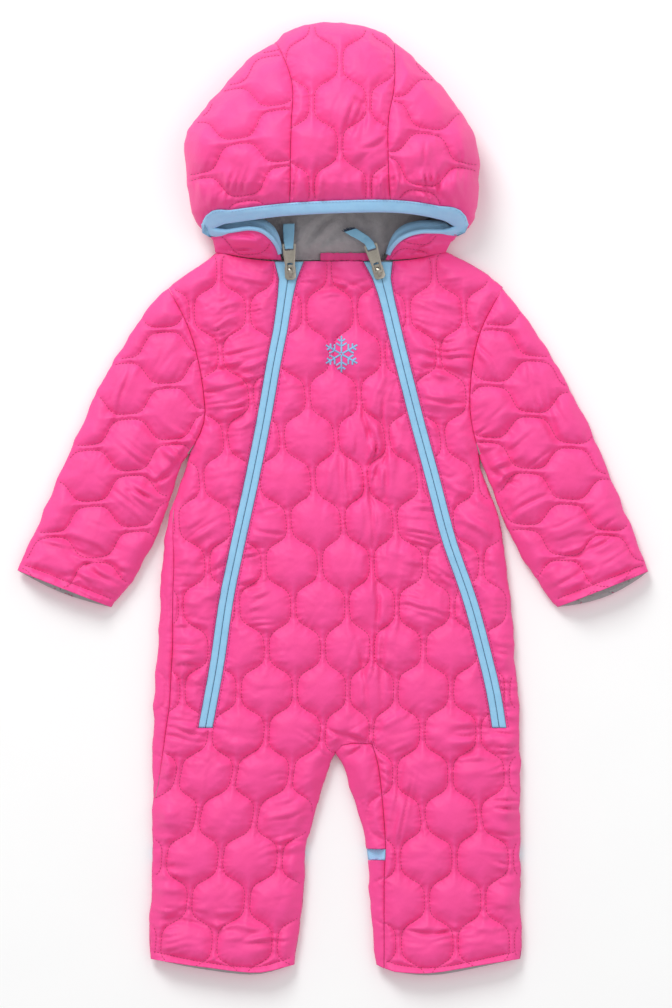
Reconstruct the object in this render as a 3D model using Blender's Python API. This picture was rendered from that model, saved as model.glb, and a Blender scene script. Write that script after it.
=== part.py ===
"""A baby's quilted, hooded snowsuit, laid out flat on its back with its hood filled out.

X runs across the suit, +Y towards the hood, +Z up from the surface that it lies on.
Sizes in the tables and functions are millimetres; make_object() turns them to metres.
Every cloth piece is a wall: an outer sheet, an inner sheet and the rims that join them.
A sheet is laid out in plan and lifted by a height function of the distance to the folded edge.
"""
from collections import namedtuple
from math import ceil, cos, hypot, pi, radians, sin, tanh

import bmesh
import bpy
import numpy as np
from mathutils import Vector
from mathutils.geometry import delaunay_2d_cdt

# ---------------------------------------------------------------- driving dimensions, mm
MM = 0.001

SEAM_GAP = 0.3              # clear space between two sewn pieces
AT_EDGE = 0.25              # points this near a folded edge are on it
EDGE_HEIGHT = 6.0           # height of the outermost line of the folded side edges
EDGE_WALL = 2.0             # thickness of the wall where it folds round an edge
UNDER_ROLL = 8.0            # how far in the underside meets the surface
TOP_ROLL = 11.0             # how far in the top is level
UNDER_ROWS = (2.4, 8.0)     # rows of points along the rolled edges, from the edge in
TOP_ROWS = (1.6, 5.5)
BACK_FLOOR = 7.2            # inner face of the padded back
FRONT_CEILING = 8.2         # inner face of the padded front
STITCH_LEVEL = 12.0         # outer face of the front along its stitching
BELLY_RISE = 3.0            # how much the middle of the body stands above its sides
BELLY_REACH = 90.0

QUILT_HEIGHT = 7.0          # rise of a puff over its stitching
QUILT_REACH = 18.0          # distance from the stitching to a puff's crown
QUILT_COLUMN = 24.4         # distance from one wavy line of stitching to the next
QUILT_PERIOD = 73.0         # length of one wave, a puff and a neck
QUILT_SWING = 10.0          # how far a line swings to each side
QUILT_SQUARENESS = 1.5      # flattens the wave's crests into straight necks
QUILT_CLEAR = 3.2           # how far stitching stops from a piece's outline
PUFF_FADE = 15.0            # how far from a folded edge the puffs reach their full height

EDGE_STEP = 10.0            # spacing of points along outlines
STITCH_STEP = 8.5           # spacing of points along stitching
PUFF_STEP = 12.5            # spacing of points inside the puffs
PLAIN_STEP = 34.0           # spacing of points on plain sheets

HEM_TURN = 7.0              # width of the turned and topstitched hem
HEM_LIFT = 3.0              # how far the front's hems stand off the lining
HEM_REACH = 22.0
LIFT_WIDTH = 30.0           # how far from a folded edge a hem or cuff is fully lifted
HEM_OVERLAP = 3.0           # how much longer the back of a leg is, in the middle

TAPE_WIDTH = 12.2           # both halves of a zip tape that show
TAPE_FLARE = 13.0           # how much wider the folded top of the tape is
TAPE_FLARE_LENGTH = 11.0
TAPE_THICKNESS = 1.4
TAPE_PROUD = 0.2            # how much the tape stands above the stitching beside it
TAPE_STEP = 15.0
COIL_GAP = 0.5              # slit between the halves, over the coil

HOOD_EDGE_TOP = 22.0        # height of the hood's outermost line at its widest
HOOD_WALL = 3.0
HOOD_FLOOR = 7.2
HOOD_UNDER_ROLL = 0.9       # width of the roll under the hood's edge, as a share of its height
HOOD_PLAIN_STEP = 22.0
HOOD_REACH = 105.0          # how far in the hood is at its full height
HOOD_ROUNDNESS = 2.2
LINING_EDGE = 2.5           # between the hood's edge and its lining
LINING_FLOOR_GAP = 0.4      # between the hood's floor and its lining
LINING_WALL = 1.4

BINDING_WIDTH = 10.0        # on the brim's outer face
BINDING_CHEEK_WIDTH = 3.5
BINDING_CORNER_WIDTH = 1.6
BINDING_TAPER = 0.4         # how quickly it widens away from a corner
BINDING_WALL = 1.4
BINDING_GAP = 0.5
BINDING_LIP = 0.4           # how far the fold stands above and below the cloth's cut edge
BINDING_START = 0.4         # share of the first step up a cheek that the binding leaves bare

# ---------------------------------------------------------------- outline tables, mm
# y: place up the suit; left and right: x of the two edges, seen from above.
Edge = namedtuple("Edge", "y left right")
ShapePoint = namedtuple("ShapePoint", "x y")

BODY_SIDES = (
    Edge(39.0, -125.5, 125.8),
    Edge(27.4, -128.0, 127.0),
    Edge(-14.0, -142.5, 141.8),
    Edge(-35.0, -146.2, 146.2),
    Edge(-87.0, -150.5, 153.0),
    Edge(-129.0, -152.3, 155.7),
    Edge(-171.0, -155.7, 159.2),
    Edge(-213.0, -156.6, 161.0),
    Edge(-300.0, -157.0, 161.2),
    Edge(-348.0, -158.3, 161.0),
    Edge(-380.0, -160.3, 162.0),
    Edge(-399.0, -158.6, 160.4),
)

# inner edges of the two legs, from just under the crotch to the hems
LEG_INSIDES = (
    Edge(-225.5, -2.6, 4.6),
    Edge(-233.6, -6.1, 9.6),
    Edge(-244.0, -8.7, 12.2),
    Edge(-264.9, -14.8, 19.1),
    Edge(-285.8, -20.9, 25.2),
    Edge(-306.7, -25.6, 28.9),
    Edge(-348.0, -28.0, 32.2),
    Edge(-390.0, -33.1, 36.0),
    Edge(-404.0, -35.2, 37.6),
)
CROTCH = ShapePoint(0.9, -219.7)

LEFT_HEM = (
    ShapePoint(-158.6, -399.0),
    ShapePoint(-116.6, -407.6),
    ShapePoint(-68.7, -412.6),
    ShapePoint(-35.2, -404.0),
)
RIGHT_HEM = (
    ShapePoint(37.6, -404.0),
    ShapePoint(43.5, -407.0),
    ShapePoint(56.6, -411.0),
    ShapePoint(92.2, -412.6),
    ShapePoint(160.4, -399.0),
)

ARMHOLES = (
    Edge(183.5, -143.5, 146.0),
    Edge(150.0, -126.6, 128.6),
    Edge(119.6, -117.5, 120.4),
    Edge(87.4, -112.6, 117.8),
    Edge(65.7, -113.1, 119.4),
    Edge(39.0, -125.5, 125.8),
)
SHOULDERS = (
    Edge(214.5, -101.0, 95.7),
    Edge(204.9, -112.5, 115.5),
    Edge(194.4, -130.0, 133.0),
    Edge(183.5, -143.5, 146.0),
)

SLEEVE_OUTSIDES = (
    Edge(183.5, -143.5, 146.0),
    Edge(173.6, -154.6, 155.5),
    Edge(152.7, -170.0, 171.4),
    Edge(110.9, -195.8, 198.0),
    Edge(69.2, -216.6, 219.4),
    Edge(27.4, -235.0, 238.0),
    Edge(-14.4, -253.4, 255.0),
    Edge(-56.1, -271.6, 272.3),
    Edge(-62.0, -274.2, 274.2),
)
SLEEVE_INSIDES = (
    Edge(39.0, -125.5, 125.8),
    Edge(27.4, -132.4, 131.4),
    Edge(-14.4, -146.6, 146.6),
    Edge(-35.2, -155.0, 155.8),
    Edge(-56.1, -165.6, 168.0),
    Edge(-77.0, -179.2, 181.2),
    Edge(-93.5, -193.6, 194.0),
)
# how much further than the top layer the under layer of a cuff reaches, along the cuff
CUFF_UNDERLAP = {"left": 4.0, "right": 7.0}
CUFF_LIFT = {"left": 3.0, "right": 5.0}

# the side seam on the wearer's right shows on top: how far in from the edge it lies
SeamInset = namedtuple("SeamInset", "y inset")
SIDE_SEAM = (
    SeamInset(39.0, 0.0),
    SeamInset(2.0, 0.0),
    SeamInset(-14.0, 3.5),
    SeamInset(-52.0, 9.0),
    SeamInset(-122.0, 12.0),
    SeamInset(-177.0, 13.5),
    SeamInset(-212.0, 9.0),
    SeamInset(-247.0, 4.5),
    SeamInset(-263.0, 0.0),
    SeamInset(-399.0, 0.0),
)
# the fold under the crotch, then the inseam down the top of the wearer's left leg
INSEAM = (
    ShapePoint(0.9, -219.7),
    ShapePoint(6.0, -213.8),
    ShapePoint(20.0, -211.6),
    ShapePoint(33.0, -212.4),
    ShapePoint(38.6, -232.0),
    ShapePoint(42.6, -268.0),
    ShapePoint(44.8, -301.5),
    ShapePoint(43.6, -330.0),
    ShapePoint(43.5, -407.0),
)

# centre lines of the zips
ZipPoint = namedtuple("ZipPoint", "y left right")
ZIPS = (
    ZipPoint(206.6, -39.0, 38.2),
    ZipPoint(194.4, -39.6, 40.6),
    ZipPoint(173.6, -42.6, 46.0),
    ZipPoint(142.2, -47.4, 53.5),
    ZipPoint(121.4, -51.8, 58.6),
    ZipPoint(69.2, -60.9, 71.8),
    ZipPoint(17.0, -71.3, 86.0),
    ZipPoint(-35.2, -82.7, 99.8),
    ZipPoint(-87.4, -93.5, 118.0),
    ZipPoint(-139.6, -101.0, 132.0),
    ZipPoint(-171.0, -106.6, 139.2),
    ZipPoint(-198.0, -111.6, 143.4),
)
NECK_Y = 206.6              # the front's neck edge

# the hood in plan, from the neck to the ends of its two seams
HOOD_SIDES = (
    Edge(215.0, -101.8, 96.6),
    Edge(225.8, -105.5, 103.0),
    Edge(236.2, -114.8, 117.5),
    Edge(246.6, -121.8, 122.7),
    Edge(257.1, -124.4, 124.0),
    Edge(278.0, -127.0, 125.3),
    Edge(298.8, -129.2, 125.4),
    Edge(319.7, -125.3, 119.2),
    Edge(340.6, -109.6, 105.4),
    Edge(361.5, -91.5, 88.7),
    Edge(382.4, -72.2, 68.7),
    Edge(396.0, -50.0, 52.0),
)
HOOD_CROWN = (
    ShapePoint(-50.0, 396.0),
    ShapePoint(-44.0, 403.0),
    ShapePoint(-29.0, 409.4),
    ShapePoint(5.0, 413.3),
    ShapePoint(34.0, 406.6),
    ShapePoint(46.0, 401.0),
    ShapePoint(52.0, 396.0),
)
# the seams between the hood's middle strip and its sides, on top
HOOD_SEAMS = (
    Edge(396.0, -50.0, 52.0),
    Edge(368.4, -38.6, 52.6),
    Edge(348.4, -35.2, 51.0),
    Edge(325.0, -36.5, 46.6),
    Edge(288.4, -37.4, 46.6),
    Edge(262.0, -37.4, 47.6),
    Edge(249.0, -37.6, 48.0),
)
HOOD_UNDER_SEAMS = (
    Edge(396.0, -50.0, 52.0),
    Edge(207.9, -40.0, 43.0),
)
BACK_NECK = (
    ShapePoint(-101.0, 214.5),
    ShapePoint(-70.0, 209.4),
    ShapePoint(0.0, 207.6),
    ShapePoint(68.0, 209.2),
    ShapePoint(95.7, 214.5),
)
# lower edge of the hood's brim, from the wearer's right corner to the left one
BRIM = (
    ShapePoint(-105.0, 235.0),
    ShapePoint(-98.5, 239.2),
    ShapePoint(-64.4, 243.8),
    ShapePoint(-37.6, 246.4),
    ShapePoint(5.2, 248.4),
    ShapePoint(48.0, 249.0),
    ShapePoint(76.0, 246.6),
    ShapePoint(98.0, 241.8),
    ShapePoint(105.5, 236.2),
)
# front edges of the two cheek pieces, from the corner of the brim to the neck
LEFT_CHEEK = (
    ShapePoint(-105.0, 235.0),
    ShapePoint(-94.0, 232.2),
    ShapePoint(-73.0, 234.4),
    ShapePoint(-60.0, 231.0),
    ShapePoint(-49.5, 220.5),
    ShapePoint(-45.5, 207.7),
)
RIGHT_CHEEK = (
    ShapePoint(105.5, 236.2),
    ShapePoint(96.0, 232.4),
    ShapePoint(74.0, 231.6),
    ShapePoint(58.0, 226.0),
    ShapePoint(48.2, 216.0),
    ShapePoint(44.6, 207.7),
)
# how the hood's height and its edge change from neck to crown
HoodRow = namedtuple("HoodRow", "y edge_height rise")
HOOD_ROWS = (
    HoodRow(205.0, 6.5, 16.0),
    HoodRow(222.0, 11.0, 24.0),
    HoodRow(236.0, 16.0, 32.0),
    HoodRow(248.0, 19.0, 43.0),
    HoodRow(272.0, HOOD_EDGE_TOP, 51.0),
    HoodRow(310.0, HOOD_EDGE_TOP, 55.0),
    HoodRow(350.0, 21.0, 52.0),
    HoodRow(412.0, 17.0, 44.0),
)
CHEEK_FALL = 18.0           # how quickly the cheeks drop to the neck seam
NECK_SHARE = 0.3            # the hood's rise at the neck seam, as a share of its whole rise

# sideways drift of the quilting where the cloth bunches and the legs lean
Drift = namedtuple("Drift", "y left middle right")
BODY_DRIFT = (
    Drift(220.0, -17.0, -17.0, -27.0),
    Drift(130.0, -16.0, -16.0, -22.0),
    Drift(60.0, -12.0, -11.5, -19.0),
    Drift(20.0, -8.0, -9.0, -14.0),
    Drift(-50.0, -3.0, -3.0, -9.0),
    Drift(-130.0, 0.0, 0.0, -10.5),
    Drift(-200.0, 0.0, 0.0, -11.5),
    Drift(-235.0, -3.0, -3.0, -11.5),
    Drift(-270.0, -10.0, -7.0, -11.5),
    Drift(-300.0, -15.0, -11.0, -8.0),
    Drift(-415.0, -23.0, -17.0, -6.5),
)
DRIFT_LEFT_X = -80.0
DRIFT_RIGHT_X = 70.0
BODY_QUILT_X = -58.3        # a neck of the body's quilting is here
BODY_QUILT_Y = -129.2

# ---------------------------------------------------------------- colours
PINK = (0.87, 0.07, 0.27)
BLUE = (0.31, 0.60, 0.83)
GREY = (0.20, 0.19, 0.19)
NICKEL = (0.50, 0.46, 0.39)


# ---------------------------------------------------------------- curves in plan
def smooth(points, step):
    """A smooth curve through the points, as evenly spaced points of about one step."""
    p = np.array([(q[0], q[1]) for q in points], dtype=float)
    p = np.vstack([2 * p[0] - p[1], p, 2 * p[-1] - p[-2]])
    dense = []
    for a, b, c, d in zip(p[:-3], p[1:-2], p[2:-1], p[3:]):
        for t in np.linspace(0.0, 1.0, 12, endpoint=False):
            dense.append(0.5 * (2 * b + (c - a) * t + (2 * a - 5 * b + 4 * c - d) * t ** 2
                                + (3 * b - a - 3 * c + d) * t ** 3))
    dense.append(p[-2])
    return even(np.array(dense), step)


def even(dense, step):
    """The same line with evenly spaced points."""
    along = np.concatenate([[0.0], np.cumsum(np.hypot(*np.diff(dense, axis=0).T))])
    count = max(1, round(along[-1] / step))
    places = np.linspace(0.0, along[-1], count + 1)
    line = np.column_stack([np.interp(places, along, dense[:, k]) for k in (0, 1)])
    line[0], line[-1] = dense[0], dense[-1]
    return line


def cut_line(start, end):
    return even(np.array([start, end]), EDGE_STEP)


def side(rows, name):
    """One column of a table of edges, as points."""
    return [(getattr(row, name), row.y) for row in rows]


def normals(line):
    """Unit normals to the left of a line, one for each point."""
    step = np.gradient(line, axis=0)
    step /= np.maximum(np.hypot(*step.T), 1e-9)[:, None]
    return np.column_stack([-step[:, 1], step[:, 0]])


def distance(points, lines):
    """Distance of each point to the nearest of some lines."""
    points = np.atleast_2d(points)
    best = np.full(len(points), 1e6)
    for line in lines:
        a, b = line[:-1], line[1:]
        ab = b - a
        size = np.maximum((ab ** 2).sum(1), 1e-12)
        for k in range(len(a)):
            t = np.clip(((points - a[k]) @ ab[k]) / size[k], 0.0, 1.0)
            gap = points - a[k] - t[:, None] * ab[k]
            best = np.minimum(best, np.hypot(gap[:, 0], gap[:, 1]))
    best[best < 1e-6] = 0.0
    return best


def inside(points, outline):
    """Which points are inside a closed outline."""
    x, y = points[:, 0], points[:, 1]
    result = np.zeros(len(points), dtype=bool)
    for (ax, ay), (bx, by) in zip(outline, np.roll(outline, -1, axis=0)):
        if ay == by:
            continue
        crosses = (ay > y) != (by > y)
        result ^= crosses & (x < (bx - ax) * (y - ay) / (by - ay) + ax)
    return result


def join(*lines):
    """Runs that meet end to end, as one closed outline with no point twice."""
    outline = [tuple(p) for line in lines for p in line]
    kept = [p for k, p in enumerate(outline)
            if hypot(p[0] - outline[k - 1][0], p[1] - outline[k - 1][1]) > 1e-6]
    return np.array(kept)


# ---------------------------------------------------------------- heights
def roll(d, start, width, low, high, roundness=2.0):
    """Height that turns from low at an edge to high one width in, like a quarter of a circle."""
    inward = np.where(d - start < AT_EDGE, 0.0, d - start)
    u = np.clip(inward / width, 0.0, 1.0)
    return low + (high - low) * (1 - (1 - u) ** roundness) ** (1 / roundness)


def ease(d, width):
    u = np.clip(d / width, 0.0, 1.0)
    return u * u * (3 - 2 * u)


def puff(d):
    """Share of its full height that a puff has at a distance from the stitching."""
    return np.sin(0.5 * pi * np.clip(d / QUILT_REACH, 0.0, 1.0)) ** 0.85


# ---------------------------------------------------------------- quilting
def wave(angle):
    return tanh(QUILT_SQUARENESS * sin(angle)) / tanh(QUILT_SQUARENESS)


def body_drift(x, y):
    rows = BODY_DRIFT[::-1]
    ys = [r.y for r in rows]
    shifts = [np.interp(y, ys, [getattr(r, name) for r in rows]) for name in ("left", "middle", "right")]
    return np.interp(x, (DRIFT_LEFT_X, 0.5 * (DRIFT_LEFT_X + DRIFT_RIGHT_X), DRIFT_RIGHT_X), shifts)


def quilt_lines(outline, origin, angle, drift=None):
    """Wavy lines of stitching over an outline's box, along a direction turned from +Y."""
    across = np.array((cos(angle), sin(angle)))
    along = np.array((-sin(angle), cos(angle)))
    middle = 0.5 * (outline.min(0) + outline.max(0)) - origin
    reach = 0.5 * hypot(*(outline.max(0) - outline.min(0))) + QUILT_PERIOD
    first = int((middle @ across - reach) // QUILT_COLUMN)
    last = ceil((middle @ across + reach) / QUILT_COLUMN)
    steps = ceil(2 * reach / STITCH_STEP)
    lines = []
    for k in range(first, last + 1):
        swing = QUILT_SWING * (1 if k % 2 else -1)
        line = []
        for v in np.linspace(middle @ along - reach, middle @ along + reach, steps + 1):
            u = (k + 0.5) * QUILT_COLUMN + swing * wave(2 * pi * v / QUILT_PERIOD + pi / 2)
            p = origin + u * across + v * along
            if drift:
                p[0] += drift(p[0], p[1])
            line.append(p)
        lines.append(np.array(line))
    return lines


def clip_lines(lines, outline, clear):
    """The stretches of the lines that are inside an outline and clear of it."""
    closed = np.vstack([outline, outline[:1]])
    kept = []
    for line in lines:
        good = inside(line, outline) & (distance(line, [closed]) > clear)
        run = []
        for p, ok in zip(line, good):
            if ok:
                run.append(p)
            if not ok and len(run) > 1:
                kept.append(np.array(run))
            if not ok:
                run = []
        if len(run) > 1:
            kept.append(np.array(run))
    return kept


# ---------------------------------------------------------------- walls
class Wall:
    """The points and faces of one closed wall, gathered sheet by sheet."""

    def __init__(self):
        self.points = []
        self.faces = []
        self.index = {}

    def add(self, x, y, z):
        key = (round(x, 3), round(y, 3), round(z, 3))
        if key not in self.index:
            self.index[key] = len(self.points)
            self.points.append((x, y, z))
        return self.index[key]

    def sheet(self, outline, height, step, lines=(), rows=()):
        """Fill a closed outline with triangles that keep the lines as edges."""
        plan = [tuple(p) for p in outline]
        edges = [(k, (k + 1) % len(plan)) for k in range(len(plan))]
        closed = np.vstack([outline, outline[:1]])
        for line in lines:
            first = len(plan)
            plan += [tuple(p) for p in line]
            edges += [(k, k + 1) for k in range(first, len(plan) - 1)]
        extra = [p for row in rows for p in row]
        if extra:
            extra = np.array(extra)
            keep = inside(extra, outline) & (distance(extra, [closed]) > 1.0)
            if lines:
                keep &= distance(extra, lines) > 2.0
            plan += [tuple(p) for p in extra[keep]]
        low, high = outline.min(0), outline.max(0)
        grid = []
        for j in range(int((high[1] - low[1]) / (step * 0.87)) + 1):
            for i in range(int((high[0] - low[0]) / step) + 2):
                grid.append((low[0] + (i + 0.5 * (j % 2)) * step, low[1] + j * step * 0.87))
        grid = np.array(grid)
        clear = np.vstack([closed] + [np.array([p]) for p in plan])
        keep = inside(grid, outline)
        grid = grid[keep]
        if len(grid):
            gaps = np.hypot(grid[:, None, 0] - clear[None, :, 0],
                            grid[:, None, 1] - clear[None, :, 1]).min(1)
            keep = gaps > 0.5 * step
            if lines:
                keep &= distance(grid, lines) > 0.38 * step
            grid = grid[keep]
            plan += [tuple(p) for p in grid]
        result = delaunay_2d_cdt([Vector(p) for p in plan], edges, [], 1, 1e-7)
        flat, triangles, origins = result[0], result[2], result[3]
        exact = [plan[o[0]] if o else tuple(v) for v, o in zip(flat, origins)]
        z = height(np.array(exact))
        ids = [self.add(x, y, h) for (x, y), h in zip(exact, z)]
        for face in triangles:
            corners = [ids[k] for k in face]
            if len(set(corners)) == 3:
                self.faces.append(corners)

    def rim(self, outer, inner, ladder=False):
        """Join two lines of 3-D points that run side by side.

        Each quad is split along its shorter diagonal, or always the same way in a ladder.
        """
        for k in range(len(outer) - 1):
            a, b = self.add(*outer[k]), self.add(*outer[k + 1])
            c, d = self.add(*inner[k + 1]), self.add(*inner[k])
            first, second = np.subtract(outer[k], inner[k + 1]), np.subtract(outer[k + 1], inner[k])
            if ladder or first @ first < second @ second:
                halves = (a, b, c), (a, c, d)
            else:
                halves = (a, b, d), (b, c, d)
            self.faces += [corners for corners in halves if len(set(corners)) == 3]

    def make(self, name, material):
        return make_object(name, self.points, self.faces, material)


def lifted(line, height):
    """A plan line at its height, as 3-D points."""
    return [(x, y, z) for (x, y), z in zip(line, height(np.array(line)))]


def make_object(name, points, faces, material, smooth_angle=50.0):
    mesh = bpy.data.meshes.new(name)
    bm = bmesh.new()
    verts = [bm.verts.new(Vector(p) * MM) for p in points]
    for face in faces:
        bm.faces.new([verts[k] for k in face])
    loose = [v for v in bm.verts if not v.link_faces]
    bmesh.ops.delete(bm, geom=loose, context="VERTS")
    bmesh.ops.recalc_face_normals(bm, faces=bm.faces)
    bm.to_mesh(mesh)
    bm.free()
    mesh.shade_smooth()
    mesh.set_sharp_from_angle(angle=radians(smooth_angle))
    mesh.materials.append(material)
    obj = bpy.data.objects.new(name, mesh)
    bpy.context.scene.collection.objects.link(obj)
    return obj


def material(name, colour, roughness, metallic=0.0):
    made = bpy.data.materials.new(name)
    made.use_nodes = True
    shader = made.node_tree.nodes["Principled BSDF"]
    shader.inputs["Base Color"].default_value = (*colour, 1.0)
    shader.inputs["Roughness"].default_value = roughness
    shader.inputs["Metallic"].default_value = metallic
    return made


# ---------------------------------------------------------------- outline runs
def body_runs():
    """The runs of the body's outline, counter-clockwise from the wearer's right armhole."""
    left_inside = [(row.left, row.y) for row in LEG_INSIDES][::-1]
    right_inside = [(row.right, row.y) for row in LEG_INSIDES]
    fold = smooth(INSEAM[:4], EDGE_STEP)
    return {
        "left_side": smooth(side(BODY_SIDES, "left"), EDGE_STEP),
        "left_hem": smooth(LEFT_HEM, EDGE_STEP),
        "crotch_left": smooth(left_inside + [CROTCH], EDGE_STEP),
        "crotch_right": smooth([CROTCH] + right_inside, EDGE_STEP),
        "inseam": np.vstack([fold, smooth(INSEAM[3:], EDGE_STEP)[1:]]),
        "inseam_turn": len(fold),
        "right_hem_strip": cut_line(RIGHT_HEM[0], RIGHT_HEM[1]),
        "right_hem": smooth(RIGHT_HEM[1:], EDGE_STEP),
        "right_side": smooth(side(BODY_SIDES, "right")[::-1], EDGE_STEP),
        "right_armhole": smooth(side(ARMHOLES, "right")[::-1], EDGE_STEP),
        "right_shoulder": smooth(side(SHOULDERS, "right")[::-1], EDGE_STEP),
        "left_shoulder": smooth(side(SHOULDERS, "left"), EDGE_STEP),
        "left_armhole": smooth(side(ARMHOLES, "left"), EDGE_STEP),
    }


FOLDED = ("left_side", "crotch_left", "crotch_right", "right_side", "right_shoulder", "left_shoulder")


def hem_lift(d, points, runs):
    """How far the front stands off the lining in the middle of each leg's hem."""
    near = distance(points, [runs["left_hem"], runs["right_hem"]])
    return HEM_LIFT * np.exp(-(near / HEM_REACH) ** 2) * ease(d - EDGE_WALL, LIFT_WIDTH)


def side_seam_insets(line):
    rows = SIDE_SEAM[::-1]
    return np.interp(line[:, 1], [r.y for r in rows], [r.inset for r in rows])


def body_top(points, runs, edge=EDGE_HEIGHT + SEAM_GAP / 2):
    """Outer height of the body's top face along its stitching."""
    d = distance(points, [runs[name] for name in FOLDED])
    rise = BELLY_RISE * ease(d - TOP_ROLL, BELLY_REACH)
    return roll(d, 0.0, TOP_ROLL, edge, STITCH_LEVEL) + rise + hem_lift(d, points, runs)


def body_ceiling(points, runs, edge=EDGE_HEIGHT + SEAM_GAP / 2):
    """Height of the plain inner face of the body's top."""
    d = distance(points, [runs[name] for name in FOLDED])
    rise = BELLY_RISE * 0.5 * ease(d - TOP_ROLL, BELLY_REACH)
    return roll(d, EDGE_WALL, TOP_ROLL - EDGE_WALL, edge, FRONT_CEILING) + rise + hem_lift(d, points, runs)


def quilted(height, lines, sewn, fade):
    """Raise puffs over a height function, between the stitching and the sewn edges."""
    def raised(points):
        d = distance(points, lines + sewn) if lines + sewn else np.full(len(points), QUILT_REACH)
        return height(points) + QUILT_HEIGHT * puff(d) * ease(fade(points), PUFF_FADE)
    return raised


def shifted(line, amount):
    """A line moved sideways, to the left of its direction."""
    return line + normals(line) * np.reshape(amount, (-1, 1))


def between(line, high, low):
    """The stretch of a line between two heights, with new points at its ends."""
    order = line if line[0, 1] > line[-1, 1] else line[::-1]
    y = order[:, 1]
    ends = [(np.interp(-h, -y, order[:, 0]), h) for h in (high, low)]
    middle = order[(y < high - 1.0) & (y > low + 1.0)]
    part = np.vstack([ends[:1], middle, ends[1:]])
    return part if line[0, 1] > line[-1, 1] else part[::-1]


def with_inner(runs, slides=None):
    """Outline of the runs and its inner twin: each run is (line, how far its wall turns in).

    Where a turned run meets a plain one, the inner corner slides along the plain run,
    or along a given direction: slides holds one for the start and one for the end of run 0.
    """
    outer, inner = [], []
    for k, (line, amount) in enumerate(runs):
        amounts = np.broadcast_to(amount, len(line))
        shift = normals(line) * np.reshape(amounts, (-1, 1))
        before, after = runs[k - 1], runs[(k + 1) % len(runs)]
        for end, near, other, place in ((0, 0, before, -1), (-1, 1, after, 0)):
            meets = np.broadcast_to(other[1], len(other[0]))[place]
            if amounts[end] > 0 and meets == 0:
                step = other[0][-2] - other[0][-1] if end == 0 else other[0][1] - other[0][0]
                if slides is not None and k == 0:
                    step = slides[near]
                shift[end] = step / hypot(*step) * amounts[end]
        for p, s in zip(line, shift):
            if outer and hypot(*(p - outer[-1])) < 1e-6:
                if hypot(*s) > hypot(*(inner[-1] - outer[-1])):
                    inner[-1] = p + s
                continue
            outer.append(p)
            inner.append(p + s)
    if hypot(*(outer[0] - outer[-1])) < 1e-6:
        last_outer, last_inner = outer.pop(), inner.pop()
        if hypot(*(last_inner - last_outer)) > hypot(*(inner[0] - outer[0])) + 1e-9:
            inner[0] = last_inner
    return np.array(outer), np.array(inner)


# ---------------------------------------------------------------- zips
def zip_centre(name):
    return smooth(side(ZIPS, name), TAPE_STEP)


def tape_half_width(y):
    return 0.5 * (TAPE_WIDTH + TAPE_FLARE * np.exp((y - NECK_Y) / TAPE_FLARE_LENGTH))


def slash(name):
    """The slit in the front round a zip: down its +X side and up its -X side."""
    centre = zip_centre(name)
    half = tape_half_width(centre[:, 1]) + SEAM_GAP
    right = centre + np.column_stack([half, 0 * half])
    left = centre - np.column_stack([half, 0 * half])
    foot = np.array((0.0, -SEAM_GAP))
    right[-1] += foot
    left[-1] += foot
    return np.vstack([right, left[::-1]])


def build_tapes(name, runs, blue):
    centre = zip_centre(name)
    centre[0, 1] -= SEAM_GAP
    half = tape_half_width(centre[:, 1])
    for part, sign in (("inner", 1 if name == "left" else -1), ("outer", -1 if name == "left" else 1)):
        near = centre + np.column_stack([0 * half + sign * COIL_GAP / 2, 0 * half])
        far = centre + np.column_stack([sign * half, 0 * half])
        sections = []
        for a, b in zip(near, far):
            za, zb = body_top(np.array([a, b]), runs)
            za, zb = za + TAPE_PROUD, zb + TAPE_PROUD
            sections.append([(*a, za), (*b, zb), (*b, zb - TAPE_THICKNESS), (*a, za - TAPE_THICKNESS)])
        loft(f"zip_{name}_tape_{part}", sections, blue)


def loft(name, sections, mat, smooth_angle=50.0, caps="fan"):
    """A solid through closed sections that have the same number of points.

    A "fold" cap pairs the points of a section that is folded in half.
    """
    count = len(sections[0])
    points = [p for section in sections for p in section]
    faces = []
    for k in range(len(sections) - 1):
        for j in range(count):
            a, b = k * count + j, k * count + (j + 1) % count
            faces += [(a, b, b + count), (a, b + count, a + count)]
    last = (len(sections) - 1) * count
    if caps == "fold":
        ends = [c for j in range(count // 2 - 1)
                for c in ((j, j + 1, count - 2 - j), (j, count - 2 - j, count - 1 - j))]
    else:
        ends = [(0, j, j + 1) for j in range(1, count - 1)]
    for a, b, c in ends:
        faces += [(a, c, b), (last + a, last + b, last + c)]
    return make_object(name, points, faces, mat, smooth_angle)


# ---------------------------------------------------------------- front
def shorter(hem):
    """The front's hem, drawn back from the longer back layer in the middle."""
    return shifted(hem, HEM_OVERLAP * np.sin(np.linspace(0.0, pi, len(hem))))


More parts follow.
